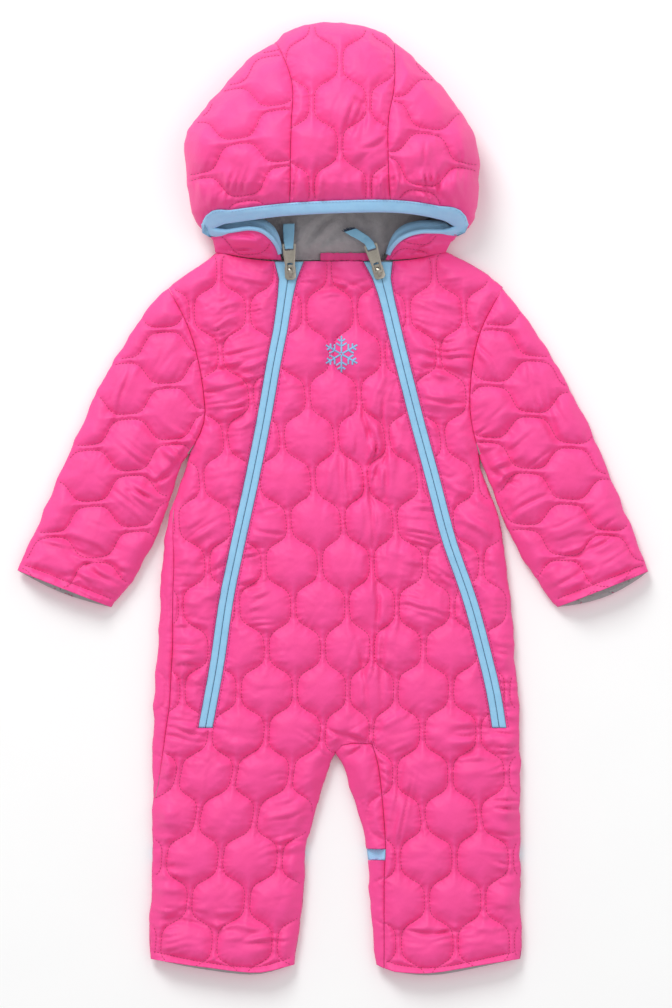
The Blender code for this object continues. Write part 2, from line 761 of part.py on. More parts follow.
def build_front(runs, pink):
    insets = side_seam_insets(runs["left_side"])
    turn = np.maximum(0.0, 1 - insets / TOP_ROLL) * EDGE_WALL
    left = shifted(runs["left_side"], insets + (insets > 0) * SEAM_GAP / 2)
    inseam = shifted(runs["inseam"], SEAM_GAP / 2)
    inseam[0] = CROTCH
    hem = shorter(runs["right_hem"])
    inseam[-1] = hem[0] = (inseam[-1, 0], hem[0, 1])
    left_hem = shorter(runs["left_hem"])
    right_slash, left_slash = slash("right"), slash("left")
    neck_right = smooth([(SHOULDERS[0].right, SHOULDERS[0].y), (72.0, 209.0), right_slash[0]], EDGE_STEP)
    neck_left = smooth([left_slash[-1], (-76.0, 209.2), (SHOULDERS[0].left, SHOULDERS[0].y)], EDGE_STEP)
    outer, inner = with_inner([
        (left, turn),
        (left_hem, 0.0),
        (runs["crotch_left"], EDGE_WALL),
        (inseam, 0.0),
        (hem, 0.0),
        (runs["right_side"], EDGE_WALL),
        (runs["right_armhole"], 0.0),
        (runs["right_shoulder"], EDGE_WALL),
        (neck_right, 0.0),
        (right_slash, 0.0),
        (smooth([right_slash[-1], left_slash[0]], EDGE_STEP), 0.0),
        (left_slash, 0.0),
        (neck_left, 0.0),
        (runs["left_shoulder"], EDGE_WALL),
        (runs["left_armhole"], 0.0),
    ])
    sewn = [inseam, runs["right_armhole"], neck_right, right_slash, left_slash, neck_left,
            runs["left_armhole"], left[insets > 0],
            shifted(left_hem, HEM_TURN), shifted(hem, HEM_TURN)]
    origin = np.array((BODY_QUILT_X, BODY_QUILT_Y))
    lines = clip_lines(quilt_lines(outer, origin, 0.0, body_drift) + sewn[-2:], outer, QUILT_CLEAR)
    folded = [runs[name] for name in FOLDED]
    base = lambda p: body_top(p, runs)
    top = quilted(base, lines, sewn, lambda p: distance(p, folded))
    under = lambda p: body_ceiling(p, runs)
    rows = [shifted(run, d) for run in folded for d in TOP_ROWS]
    wall = Wall()
    wall.sheet(outer, top, PUFF_STEP, lines, rows)
    wall.sheet(inner, under, PLAIN_STEP, (), [shifted(run, TOP_ROLL) for run in folded])
    seam = slice(0, len(left))
    wall.rim(lifted(outer[seam], top), lifted(inner[seam], under), ladder=True)
    order = list(range(len(left) - 1, len(outer))) + [0]
    wall.rim(lifted(outer[order], top), lifted(inner[order], under))
    wall.make("front", pink)


# ---------------------------------------------------------------- back
def build_tray(name, runs, bounds, mat):
    """A wall along the underside whose edges turn up: bounds are (line, kind, seam).

    A fold ends half-way up the edge. A wrap goes on over the edge, to a seam on top that
    follows it point by point, and a strip to a seam further in. An open run is a cut edge.
    """
    folded = [runs[run] for run in FOLDED]
    edge = EDGE_HEIGHT - SEAM_GAP / 2
    under = lambda p: roll(distance(p, folded), 0.0, UNDER_ROLL, edge, 0.0)
    floor = lambda p: roll(distance(p, folded), EDGE_WALL, TOP_ROLL - EDGE_WALL, edge, BACK_FLOOR)
    over = lambda p: body_top(p, runs, edge)
    inside_over = lambda p: body_ceiling(p, runs, edge)
    wall = Wall()
    outer, inner = with_inner([(line, 0.0 if kind == "open" else EDGE_WALL) for line, kind, _ in bounds])
    rows = [shifted(run, d) for run in folded for d in UNDER_ROWS]
    wall.sheet(outer, under, PLAIN_STEP, (), rows)
    wall.sheet(inner, floor, PLAIN_STEP, (), [shifted(run, TOP_ROLL) for run in folded])
    place = 0
    for line, kind, seam in bounds:
        order = [(place + k) % len(outer) for k in range(len(line))]
        place += len(line) - 1
        out, inn = outer[order], inner[order]
        if kind in ("fold", "open"):
            wall.rim(lifted(out, under), lifted(inn, floor))
            continue
        seam_inner = seam.copy()
        insets = distance(seam, [line])
        if kind == "wrap":
            seam_inner = seam + (inn - out) * np.maximum(0.0, 1 - insets / TOP_ROLL)[:, None]
        for k, end in ((0, 0), (-1, -1)):
            if insets[k] < 0.01:
                seam_inner[k] = inn[end]
        top_outline = join(out, seam[::-1])
        top_inner = join(inn, seam_inner[::-1])
        wall.sheet(top_outline, over, PLAIN_STEP, (), [shifted(line, d) for d in TOP_ROWS])
        wall.sheet(top_inner, inside_over, PLAIN_STEP)
        wall.rim(lifted(seam, over), lifted(seam_inner, inside_over), ladder=True)
        for k in (0, -1):
            if insets[k] > 0.01:
                wall.rim(lifted([out[k], seam[k]], over), lifted([inn[k], seam_inner[k]], inside_over))
    wall.make(name, mat)


FLAP_TOP = -303.5           # top of the blue binding across the back of each leg
FLAP_BINDING = 9.6


def build_back(runs, pink, blue):
    insets = side_seam_insets(runs["left_side"])
    seam = shifted(runs["left_side"], np.maximum(insets - SEAM_GAP / 2, 0.0))
    inseam = shifted(runs["inseam"], -SEAM_GAP / 2)
    inseam[0] = CROTCH
    high = FLAP_TOP + SEAM_GAP
    whole = runs["left_side"]
    first = int(np.argmax(insets > 0)) - 1
    last = len(insets) - int(np.argmax(insets[::-1] > 0))
    lower = between(whole, whole[last, 1], high)
    left_cut = cut_line(lower[-1], between(runs["crotch_left"], CROTCH.y, high)[0])
    crotch_left = between(runs["crotch_left"], CROTCH.y, high)
    crotch_right = between(runs["crotch_right"], CROTCH.y, high)
    turn = runs["inseam_turn"]
    strip_seam = np.vstack([inseam[:turn], between(inseam[turn:], inseam[turn, 1], high)])
    right_side = between(runs["right_side"], BODY_SIDES[0].y, high)
    neck = smooth(BACK_NECK[::-1], EDGE_STEP)
    build_tray("back", runs, [
        (whole[:first + 1], "fold", None),
        (whole[first:last + 1], "wrap", seam[first:last + 1]),
        (lower, "fold", None),
        (left_cut, "open", None),
        (crotch_left, "fold", None),
        (crotch_right, "strip", strip_seam),
        (cut_line(crotch_right[-1], right_side[0]), "open", None),
        (right_side, "fold", None),
        (runs["right_armhole"], "open", None),
        (runs["right_shoulder"], "fold", None),
        (neck, "open", None),
        (runs["left_shoulder"], "fold", None),
        (runs["left_armhole"], "open", None),
    ], pink)
    low = FLAP_TOP - FLAP_BINDING
    for name, top, foot, mat in (("flap_binding", FLAP_TOP, low, blue),
                                 ("foot_flap", low - SEAM_GAP, None, pink)):
        for leg in ("left", "right"):
            build_leg_back(f"{name}_{leg}", leg, runs, inseam, top, foot, mat)


def build_leg_back(name, leg, runs, inseam, top, foot, mat):
    """A length of a leg's back, from one height down to another or to the hem."""
    outside = runs[f"{leg}_side"]
    inner_edge = runs[f"crotch_{leg}"]
    out_foot = outside[-1 if leg == "left" else 0, 1] if foot is None else foot
    in_foot = inner_edge[0 if leg == "left" else -1, 1] if foot is None else foot
    outside = between(outside, top, out_foot)
    inner_edge = between(inner_edge, top, in_foot)
    if leg == "left":
        low_cut = runs["left_hem"] if foot is None else cut_line(outside[-1], inner_edge[0])
        bounds = [(outside, "fold", None), (low_cut, "open", None),
                  (inner_edge, "fold", None), (cut_line(inner_edge[-1], outside[0]), "open", None)]
    else:
        turn = runs["inseam_turn"]
        seam = between(inseam[turn:], top, inseam[-1, 1] if foot is None else foot)
        hem = np.vstack([runs["right_hem_strip"], runs["right_hem"][1:]])
        low_cut = hem if foot is None else cut_line(inner_edge[-1], outside[0])
        bounds = [(inner_edge, "strip", seam), (low_cut, "open", None),
                  (outside, "fold", None), (cut_line(outside[-1], inner_edge[0]), "open", None)]
    build_tray(name, runs, bounds, mat)


# ---------------------------------------------------------------- sleeves
SLEEVE_QUILT = {"left": ShapePoint(-179.2, 71.8), "right": ShapePoint(172.0, 73.6)}
SLEEVE_QUILT_TURN = {"left": radians(94.0), "right": radians(86.0)}
SLEEVE_FLOOR = 6.0
SLEEVE_RISE = 2.5
SLEEVE_REACH = 50.0
CUFF_REACH = 22.0


def sleeve_runs(name):
    """Armhole, outside, cuff, under layer's cuff and inside, each from the armhole's top round."""
    out = SEAM_GAP if name == "right" else -SEAM_GAP
    armhole = smooth(side(ARMHOLES, name)[::-1], EDGE_STEP) + (out, 0.0)
    outside = smooth(side(SLEEVE_OUTSIDES, name), EDGE_STEP)
    inside_edge = smooth(side(SLEEVE_INSIDES, name)[::-1], EDGE_STEP)
    outside[0] = armhole[-1]
    inside_edge[-1] = armhole[0]
    cuff = cut_line(outside[-1], inside_edge[0])
    bulge = np.sin(np.linspace(0.0, pi, len(cuff)))
    direction = 1 if name == "left" else -1
    under_cuff = cuff - normals(cuff) * direction * (CUFF_UNDERLAP[name] * bulge)[:, None]
    return armhole, outside, cuff, under_cuff, inside_edge


def build_sleeve(name, pink):
    armhole, outside, cuff, under_cuff, inside_edge = sleeve_runs(name)
    if name == "right":
        cycle = [run[::-1] for run in (armhole, inside_edge, cuff, outside)]
        under_cycle = [cycle[0], cycle[1], under_cuff[::-1], cycle[3]]
    else:
        cycle = [armhole, outside, cuff, inside_edge]
        under_cycle = [armhole, outside, under_cuff, inside_edge]
    turns = (0.0, EDGE_WALL, 0.0, EDGE_WALL)
    folded = [cycle[1], cycle[3]]
    reach = lambda p: distance(p, folded)

    def lift(p):
        near = np.exp(-(distance(p, [cuff]) / CUFF_REACH) ** 2)
        return CUFF_LIFT[name] * near * ease(reach(p) - EDGE_WALL, LIFT_WIDTH)

    def over(p):
        d = reach(p)
        return (roll(d, 0.0, TOP_ROLL, EDGE_HEIGHT, STITCH_LEVEL)
                + SLEEVE_RISE * ease(d - TOP_ROLL, SLEEVE_REACH) + lift(p))

    def ceiling(p):
        d = reach(p)
        return (roll(d, EDGE_WALL, TOP_ROLL - EDGE_WALL, EDGE_HEIGHT, FRONT_CEILING)
                + 0.5 * SLEEVE_RISE * ease(d - TOP_ROLL, SLEEVE_REACH) + lift(p))

    under = lambda p: roll(reach(p), 0.0, UNDER_ROLL, EDGE_HEIGHT, 0.0)
    floor = lambda p: roll(reach(p), EDGE_WALL, TOP_ROLL - EDGE_WALL, EDGE_HEIGHT, SLEEVE_FLOOR)
    outer, inner = with_inner(list(zip(cycle, turns)))
    under_outer = with_inner(list(zip(under_cycle, turns)))[0]
    bulges = np.hypot(*(under_outer - outer).T)[:, None] > 1e-6
    under_inner = np.where(bulges, under_outer, inner)
    hem = shifted(cuff if name == "left" else cuff[::-1], HEM_TURN)
    waves = quilt_lines(outer, np.array(SLEEVE_QUILT[name]), SLEEVE_QUILT_TURN[name])
    lines = clip_lines(waves + [hem], outer, QUILT_CLEAR)
    top = quilted(over, lines, [cycle[0], hem], reach)
    wall = Wall()
    wall.sheet(outer, top, PUFF_STEP, lines, [shifted(run, d) for run in folded for d in TOP_ROWS])
    wall.sheet(inner, ceiling, PLAIN_STEP, (), [shifted(run, TOP_ROLL) for run in folded])
    wall.sheet(under_outer, under, PLAIN_STEP, (),
               [shifted(run, d) for run in folded for d in UNDER_ROWS])
    wall.sheet(under_inner, floor, PLAIN_STEP, (), [shifted(run, TOP_ROLL) for run in folded])
    place = 0
    for k, run in enumerate(cycle):
        order = [(place + j) % len(outer) for j in range(len(run))]
        place += len(run) - 1
        if k in (0, 2):
            wall.rim(lifted(outer[order], top), lifted(inner[order], ceiling))
            wall.rim(lifted(under_outer[order], under), lifted(under_inner[order], floor))
    wall.make(f"sleeve_{name}", pink)


# ---------------------------------------------------------------- hood
HOOD_SIDE_QUILT = {"left": ShapePoint(-82.6, 307.5), "right": ShapePoint(81.0, 316.0)}
HOOD_SIDE_TURN = {"left": radians(97.0), "right": radians(83.0)}
HOOD_MIDDLE_QUILT = ShapePoint(-19.0, 340.0)
HOOD_ROWS_IN = (2.2, 8.0, 18.0)
HOOD_UNDER_ROWS = (2.0, 8.0, 20.0)
HOOD_INNER_ROW = 12.0


def hood_runs():
    """The runs of the hood, and the edge of its opening with the widths of the binding."""
    left_neck = [(HOOD_SIDES[0].left, HOOD_SIDES[0].y), (-74.0, 209.7), LEFT_CHEEK[-1]]
    right_neck = [RIGHT_CHEEK[-1], (72.0, 209.5), (HOOD_SIDES[0].right, HOOD_SIDES[0].y)]
    runs = {
        "left_edge": smooth(side(HOOD_SIDES, "left")[::-1], EDGE_STEP),
        "right_edge": smooth(side(HOOD_SIDES, "right"), EDGE_STEP),
        "crown": smooth(HOOD_CROWN[::-1], EDGE_STEP),
        "left_neck": smooth(left_neck, EDGE_STEP),
        "right_neck": smooth(right_neck, EDGE_STEP),
    }
    brim = smooth(BRIM, EDGE_STEP)
    crossings = []
    for name in ("left", "right"):
        seam = smooth(side(HOOD_SEAMS, name), EDGE_STEP)
        seam[-1, 1] = np.interp(seam[-1, 0], brim[:, 0], brim[:, 1])
        crossings.append(seam[-1])
        runs[f"{name}_seam"] = seam
        low = smooth(side(HOOD_UNDER_SEAMS, name), EDGE_STEP)
        low[-1, 1] = np.interp(low[-1, 0], *neck_line().T)
        runs[f"{name}_under_seam"] = low
    clear = np.min([np.abs(brim[:, 0] - c[0]) for c in crossings], axis=0) > 3.0
    brim = np.vstack([brim[clear], crossings])
    brim = brim[np.argsort(brim[:, 0])]
    cheeks = [smooth(LEFT_CHEEK, EDGE_STEP)[::-1], smooth(RIGHT_CHEEK, EDGE_STEP)]
    opening = np.vstack([cheeks[0], brim[1:], cheeks[1][1:]])
    corners = (len(cheeks[0]) - 1, len(cheeks[0]) + len(brim) - 2)
    order = np.arange(len(opening))
    on_brim = (order > corners[0]) & (order < corners[1])
    off = np.min([np.hypot(*(opening - opening[c]).T) for c in corners], axis=0)
    most = np.where(on_brim, BINDING_WIDTH, BINDING_CHEEK_WIDTH)
    width = np.minimum(most, BINDING_CORNER_WIDTH + BINDING_TAPER * off)
    far = shifted(opening, width)
    for end, neck, step in ((0, "left_neck", -1), (-1, "right_neck", 1)):
        line = runs[neck]
        tip, beside = (line[-1], line[-2]) if step < 0 else (line[0], line[1])
        far[end] = tip + (beside - tip) / hypot(*(beside - tip)) * BINDING_CHEEK_WIDTH
        kept = line[np.hypot(*(line - tip).T) > BINDING_CHEEK_WIDTH + 3.0]
        runs[neck] = np.vstack([kept, far[end], tip] if step < 0 else [tip, far[end], kept])
    runs["opening"], runs["far"] = opening, far
    runs["cross"] = [int(np.argmin(np.hypot(*(opening - c).T))) for c in crossings]
    for name, k in zip(("left", "right"), runs["cross"]):
        line = runs[f"{name}_seam"]
        kept = line[line[:, 1] > far[k, 1] + 3.0]
        runs[f"{name}_seam"] = np.vstack([kept, far[k], opening[k]])
    return runs


def hood_heights(runs):
    """Height functions of the hood: its outside, its inside, its underside and its floor."""
    edges = [runs["left_edge"], runs["crown"], runs["right_edge"]]
    necks = [runs["left_neck"], runs["right_neck"]]
    ys = [row.y for row in HOOD_ROWS]

    def parts(p):
        edge = np.interp(p[:, 1], ys, [row.edge_height for row in HOOD_ROWS])
        rise = np.interp(p[:, 1], ys, [row.rise for row in HOOD_ROWS])
        fall = NECK_SHARE + (1 - NECK_SHARE) * ease(distance(p, necks), CHEEK_FALL)
        return distance(p, edges), edge, rise * fall

    def over(p, depth=0.0):
        d, edge, rise = parts(p)
        return roll(d, depth, HOOD_REACH - depth, edge, edge + rise - depth, HOOD_ROUNDNESS)

    def under(p):
        d, edge, _ = parts(p)
        return roll(d, 0.0, edge * HOOD_UNDER_ROLL, edge, 0.0)

    def floor(p):
        d, edge, _ = parts(p)
        return roll(d, HOOD_WALL, HOOD_EDGE_TOP * HOOD_UNDER_ROLL, edge, HOOD_FLOOR)

    return over, under, floor, lambda p: distance(p, edges)


def moved(line, amount, first, last):
    """A line whose first or last point is moved along X."""
    line = line.copy()
    line[0, 0] += amount * first
    line[-1, 0] += amount * last
    return line


def neck_line():
    """The hood's neck seam underneath, from side to side."""
    line = smooth(BACK_NECK, EDGE_STEP) + (0.0, SEAM_GAP)
    line[0] = (HOOD_SIDES[0].left, HOOD_SIDES[0].y)
    line[-1] = (HOOD_SIDES[0].right, HOOD_SIDES[0].y)
    return line


def under_neck(start=None, end=None):
    """The hood's neck seam underneath, from a point on it to another, or to its ends."""
    line = neck_line()
    start = line[0] if start is None else start
    end = line[-1] if end is None else end
    middle = line[(line[:, 0] > start[0] + 3.0) & (line[:, 0] < end[0] - 3.0)]
    return np.vstack([[start], middle, [end]])


def build_hood(runs, heights, pink):
    gap = SEAM_GAP / 2
    left_cross, right_cross = runs["cross"]
    pieces = {"left": slice(0, left_cross + 1), "right": slice(right_cross, None),
              "centre": slice(left_cross, right_cross + 1)}
    ends = {"left": (0, -1), "right": (1, 0), "centre": (1, -1)}
    edges = {"left": "left_edge", "right": "right_edge", "centre": "crown"}
    quilts = {"left": (HOOD_SIDE_QUILT["left"], HOOD_SIDE_TURN["left"]),
              "right": (HOOD_SIDE_QUILT["right"], HOOD_SIDE_TURN["right"]),
              "centre": (HOOD_MIDDLE_QUILT, 0.0)}
    for name, piece in pieces.items():
        first, last = ends[name]
        band = [moved(runs[key][piece], gap, first, last) for key in ("opening", "far")]
        seams = {}
        for which in ("left", "right"):
            offset = gap * {"left": -1, "right": 1, "centre": 1 if which == "left" else -1}[name]
            seams[which] = [runs[f"{which}_{kind}"] + (offset, 0.0) for kind in ("seam", "under_seam")]
        edge = runs[edges[name]].copy()
        if name == "left":
            top, low = seams["left"]
            edge[0] = top[0]
            tops = (runs["left_neck"], top[::-1])
            unders = (under_neck(end=low[-1]), low[::-1])
        elif name == "right":
            top, low = seams["right"]
            edge[-1] = top[0]
            tops = (top, runs["right_neck"])
            unders = (low, under_neck(start=low[-1]))
        else:
            edge[0], edge[-1] = seams["right"][0][0], seams["left"][0][0]
            low = seams["left"][1]
            tops = (seams["left"][0], seams["right"][0][::-1])
            unders = (np.vstack([low, under_neck(low[-1], seams["right"][1][-1])[1:]]),
                      seams["right"][1][::-1])
        slides = [middle_direction(tops[1][::-1], unders[1][::-1]), middle_direction(tops[0], unders[0])]
        build_hood_panel(name, edge, tops, unders, band, slides, quilts[name], heights, pink)


def middle_direction(first, second):
    """The direction half-way between the starts of two lines."""
    a, b = first[1] - first[0], second[1] - second[0]
    return a / hypot(*a) + b / hypot(*b)


def build_hood_panel(name, edge, tops, unders, band, slides, quilt, heights, mat):
    """One of the hood's three pieces: its face, its underside and the walls at its seams.

    The face's outline is the folded edge, a run to the opening, the opening and a run back.
    """
    over, under, floor, reach = heights
    inner_over = lambda p: over(p, HOOD_WALL)
    rim, bound = band
    outer, inner = with_inner([(edge, HOOD_WALL), (tops[0], 0.0), (rim, 0.0), (tops[1], 0.0)], slides)
    low_outer, low_inner = with_inner([(edge, HOOD_WALL), (unders[0], 0.0), (unders[1], 0.0)], slides)
    inner_edge = inner[:len(edge)]
    face = join(edge, tops[0][:-1], bound, tops[1][1:])
    face_inner = join(inner_edge, tops[0][1:-1], bound, tops[1][1:-1])
    lines = clip_lines(quilt_lines(face, np.array(quilt[0]), quilt[1]), face, QUILT_CLEAR)
    top = quilted(over, lines, [tops[0], bound, tops[1]], reach)
    wall = Wall()
    wall.sheet(face, top, PUFF_STEP, lines, [shifted(edge, d) for d in HOOD_ROWS_IN])
    wall.sheet(face_inner, inner_over, HOOD_PLAIN_STEP, (), [shifted(edge, HOOD_INNER_ROW)])
    wall.rim(lifted(rim, over), lifted(bound, over), ladder=True)
    wall.rim(lifted(bound, inner_over), lifted(rim, inner_over), ladder=True)
    wall.sheet(low_outer, under, PLAIN_STEP, (), [shifted(edge, d) for d in HOOD_UNDER_ROWS])
    wall.sheet(low_inner, floor, PLAIN_STEP, (), [shifted(edge, d) for d in HOOD_UNDER_ROWS[1:]])
    for out, inn, high, low in ((outer, inner, over, inner_over), (low_outer, low_inner, under, floor)):
        order = list(range(len(edge) - 1, len(out))) + [0]
        wall.rim(lifted(out[order], high), lifted(inn[order], low))
    wall.make(f"hood_{name}" if name == "centre" else f"hood_side_{name}", mat)


def build_binding(runs, heights, blue):
    """A folded band round the opening: an outer leaf, the fold and an inner leaf."""
    over = heights[0]
    path, away = runs["opening"], normals(runs["opening"])
    top = BINDING_GAP + BINDING_WALL
    z_far, z_near = over(runs["far"]), over(path)
    z_low, z_deep = over(path, HOOD_WALL), over(runs["far"], HOOD_WALL)
    sections = []
    reach = np.hypot(*(path - runs["far"]).T)
    z_over = z_near + np.maximum(0.0, z_near - z_far) * BINDING_GAP / reach
    z_under = z_low + np.minimum(0.0, z_low - z_deep) * BINDING_GAP / reach
    for k, (p, n, far) in enumerate(zip(path, away, runs["far"])):
        lip = p - n * top
        edge = p - n * BINDING_GAP
        sections.append(np.array([
            (*far, z_far[k] + top), (*p, z_near[k] + top), (*lip, z_over[k] + BINDING_LIP),
            (*lip, z_under[k] - BINDING_LIP), (*p, z_low[k] - top), (*far, z_deep[k] - top),
            (*far, z_deep[k] - BINDING_GAP), (*edge, z_under[k] - BINDING_GAP),
            (*edge, z_over[k] + BINDING_GAP), (*far, z_far[k] + BINDING_GAP),
        ]))
    for end, near in ((0, 1), (-1, -2)):
        sections[end] = sections[end] + BINDING_START * (sections[near] - sections[end])
    loft("hood_binding", sections, blue, caps="fold")


LINING_TOP_Y = 262.0        # the pouch closes above this height
LINING_DROP = 24.0
LINING_ROWS = (8.0, 20.0)
LINING_THROAT = (
    Edge(250.0, -90.0, 90.0),
    Edge(232.0, -66.0, 62.0),
    Edge(218.0, -50.0, 47.0),
    Edge(207.9, -43.5, 42.5),
)
LINING_BROW = (
    ShapePoint(-38.0, 259.6),
    ShapePoint(5.0, 261.2),
    ShapePoint(48.0, 261.4),
)


def build_hood_lining(runs, heights, grey):
    """A fleece pouch inside the hood, whose lower layer runs down to the neck."""
    over = heights[0]
    edge = np.vstack([runs["right_edge"][:-1], runs["crown"], runs["left_edge"][1:]])
    edge = edge[edge[:, 1] > LINING_TOP_Y]
    wall = Wall()
    rims = []
    for layer in (0, 1):
        depth = HOOD_WALL + LINING_EDGE + layer * LINING_WALL
        fold = even(shifted(edge, depth), 2 * EDGE_STEP)
        brow = smooth([fold[-1], *LINING_BROW, fold[0]], 2 * EDGE_STEP)
        throat = side(LINING_THROAT, "left") + side(LINING_THROAT, "right")[::-1]
        throat = even(np.array([fold[-1]] + throat + [fold[0]]), 2 * EDGE_STEP)
        ceiling = lambda p: over(p, depth)
        edge_z = ceiling(fold)
        rest = HOOD_FLOOR + LINING_FLOOR_GAP + layer * LINING_WALL

        def floor(p):
            gaps = np.hypot(p[:, None, 0] - fold[None, :, 0], p[:, None, 1] - fold[None, :, 1])
            return roll(distance(p, [fold]), 0.0, LINING_DROP, edge_z[gaps.argmin(1)], rest)

        rows = [shifted(fold, d) for d in LINING_ROWS]
        wall.sheet(join(fold, brow), ceiling, HOOD_PLAIN_STEP, (), rows)
        wall.sheet(join(fold, throat), floor, HOOD_PLAIN_STEP, (), rows)
        rims.append((lifted(brow, ceiling), lifted(throat, floor)))
    wall.rim(rims[0][0], rims[1][0])
    wall.rim(rims[0][1], rims[1][1])
    wall.make("hood_lining", grey)


# ---------------------------------------------------------------- small pieces
FACING = ((-12.0, 207.3), (34.0, 214.0))
FACING_HEIGHTS = (9.3, 10.5)
CUFF_LINING_DEPTH = 20.0
CUFF_LINING_SETBACK = 2.0
CUFF_LINING_THICKNESS = 1.0

SLIDER_BODY = (9.6, 13.0, 3.2)      # across the zip, along it, and high
SLIDER_CORNER = 2.0
SLIDER_PLACES = {"left": ShapePoint(-37.9, 197.0), "right": ShapePoint(38.6, 197.6)}
SLIDER_TURN = {"left": 3.0, "right": 17.0}      # degrees, from +Y towards -X
BRIDGE_WIDTH = 2.4
BRIDGE_OUTER = 4.4
BRIDGE_INNER = 2.9
BRIDGE_SQUASH = 0.62        # height of the bridge's arch as a share of its radius
BRIDGE_ROOT = 1.0           # how deep its feet go into the body
PIN_HEIGHT = 1.6            # hinge axis above the slider's body

PULL_LENGTH = 25.0
PULL_START = -1.0
PULL_NARROW = 3.7
PULL_WIDE = 6.1
PULL_THICKNESS = 1.6
PULL_CORNER = 0.8           # cut off the tab's corners
HOLE_CORNER = 0.6           # and off its holes
PULL_EYE = (1.0, 8.0, 2.4)          # from, to, half width
PULL_SLOT = (19.0, 23.0, 4.0)

# the cord of ribbon through each pull's slot: place along and across the pull, and its width
RibbonPoint = namedtuple("RibbonPoint", "along across width")
RIBBONS = {
    "left": (RibbonPoint(21.0, 0.0, 7.4), RibbonPoint(27.0, 0.0, 8.6), RibbonPoint(34.0, 0.4, 9.8),
             RibbonPoint(42.0, 0.9, 9.8)),
    "right": (RibbonPoint(21.0, 0.0, 7.4), RibbonPoint(26.5, -0.8, 7.8), RibbonPoint(31.0, -3.8, 9.4),
              RibbonPoint(36.0, -8.2, 10.4), RibbonPoint(41.5, -13.2, 10.4)),
}
RIBBON_WALL = 0.9
RIBBON_LEAF_GAP = 0.15      # half the space between its two leaves, beyond the pull
RIBBON_CLOSE = 3.0          # how far beyond the pull they come together
RIBBON_TURN = 1.2           # how far from the fold its leaves are level


def build_facing(pink):
    (x0, y0), (x1, y1) = FACING
    low, high = FACING_HEIGHTS
    sections = [[(x, y0, low), (x, y1, low), (x, y1, high), (x, y0, high)]
                for x in np.linspace(x0, x1, 6)]
    loft("neck_facing", sections, pink)


def build_cuff_lining(name, grey):
    """A strip of lining on the under layer, just inside the cuff."""
    under_cuff = sleeve_runs(name)[3]
    inward = 1 if name == "left" else -1
    line = under_cuff[2:-2]
    near = shifted(line, inward * CUFF_LINING_SETBACK)
    far = shifted(line, inward * CUFF_LINING_DEPTH)
    strip(f"cuff_lining_{name}", near, far, SLEEVE_FLOOR + SEAM_GAP, grey)


def build_hem_lining(name, runs, grey):
    line = runs[f"{name}_hem"]
    line = line[2:-2]
    near = shifted(line, CUFF_LINING_SETBACK)
    far = shifted(line, CUFF_LINING_DEPTH)
    strip(f"hem_lining_{name}", near, far, BACK_FLOOR + SEAM_GAP, grey)


def strip(name, near, far, height, mat):
    low, high = height, height + CUFF_LINING_THICKNESS
    sections = [[(*a, low), (*b, low), (*b, high), (*a, high)] for a, b in zip(near, far)]
    loft(name, sections, mat)


def slider_frame(name, runs):
    """Place of a slider's hinge axis, and unit vectors along the pull and across it."""
    place = SLIDER_PLACES[name]
    turn = radians(SLIDER_TURN[name])
    along = np.array((-sin(turn), cos(turn), 0.0))
    across = np.array((cos(turn), sin(turn), 0.0))
    centre = np.array([(place.x, place.y)])
    base = float(body_top(centre, runs)[0]) + TAPE_PROUD + SEAM_GAP
    return np.array((place.x, place.y, base)), along, across


def block(name, centre, along, across, low, high, half_along, half_across, mat, chamfer=0.0):
    """A box whose outline may have cut corners."""
    a, c, k = half_along, half_across, chamfer
    outline = [(-a + k, -c), (a - k, -c), (a, -c + k), (a, c - k),
               (a - k, c), (-a + k, c), (-a, c - k), (-a, -c + k)]
    if not k:
        outline = [(-a, -c), (a, -c), (a, c), (-a, c)]
    sections = [[tuple(centre + u * along + v * across + (0.0, 0.0, z)) for u, v in outline]
                for z in (low, high)]
    return loft(name, sections, mat)


def build_slider(name, runs, nickel):
    centre, along, across = slider_frame(name, runs)
    wide, long, high = SLIDER_BODY
    body = block(f"zip_{name}_slider", centre, along, across, 0.0, high, long / 2, wide / 2, nickel, SLIDER_CORNER)
    points = []
    axis = high + PIN_HEIGHT
    for radius in (BRIDGE_OUTER, BRIDGE_INNER):
        angles = np.linspace(0.0, pi, 9)
        points.append([(radius * cos(t), axis + radius * BRIDGE_SQUASH * sin(t)) for t in angles])
        points[-1] = [(radius, high - BRIDGE_ROOT)] + points[-1] + [(-radius, high - BRIDGE_ROOT)]
    outer, inner = points
    half = BRIDGE_WIDTH / 2
    sections = [[tuple(centre + u * along + v * across + (0.0, 0.0, z))
                 for (u, z), v in ((o, -half), (o, half), (i, half), (i, -half))]
                for o, i in zip(outer, inner)]
    bridge = loft("bridge", sections, nickel)
    union = body.modifiers.new("bridge", "BOOLEAN")
    union.operation = "UNION"
    union.solver = "EXACT"
    union.object = bridge
    bridge.hide_render = True
    bridge.display_type = "WIRE"
    return centre + (0.0, 0.0, axis), along, across


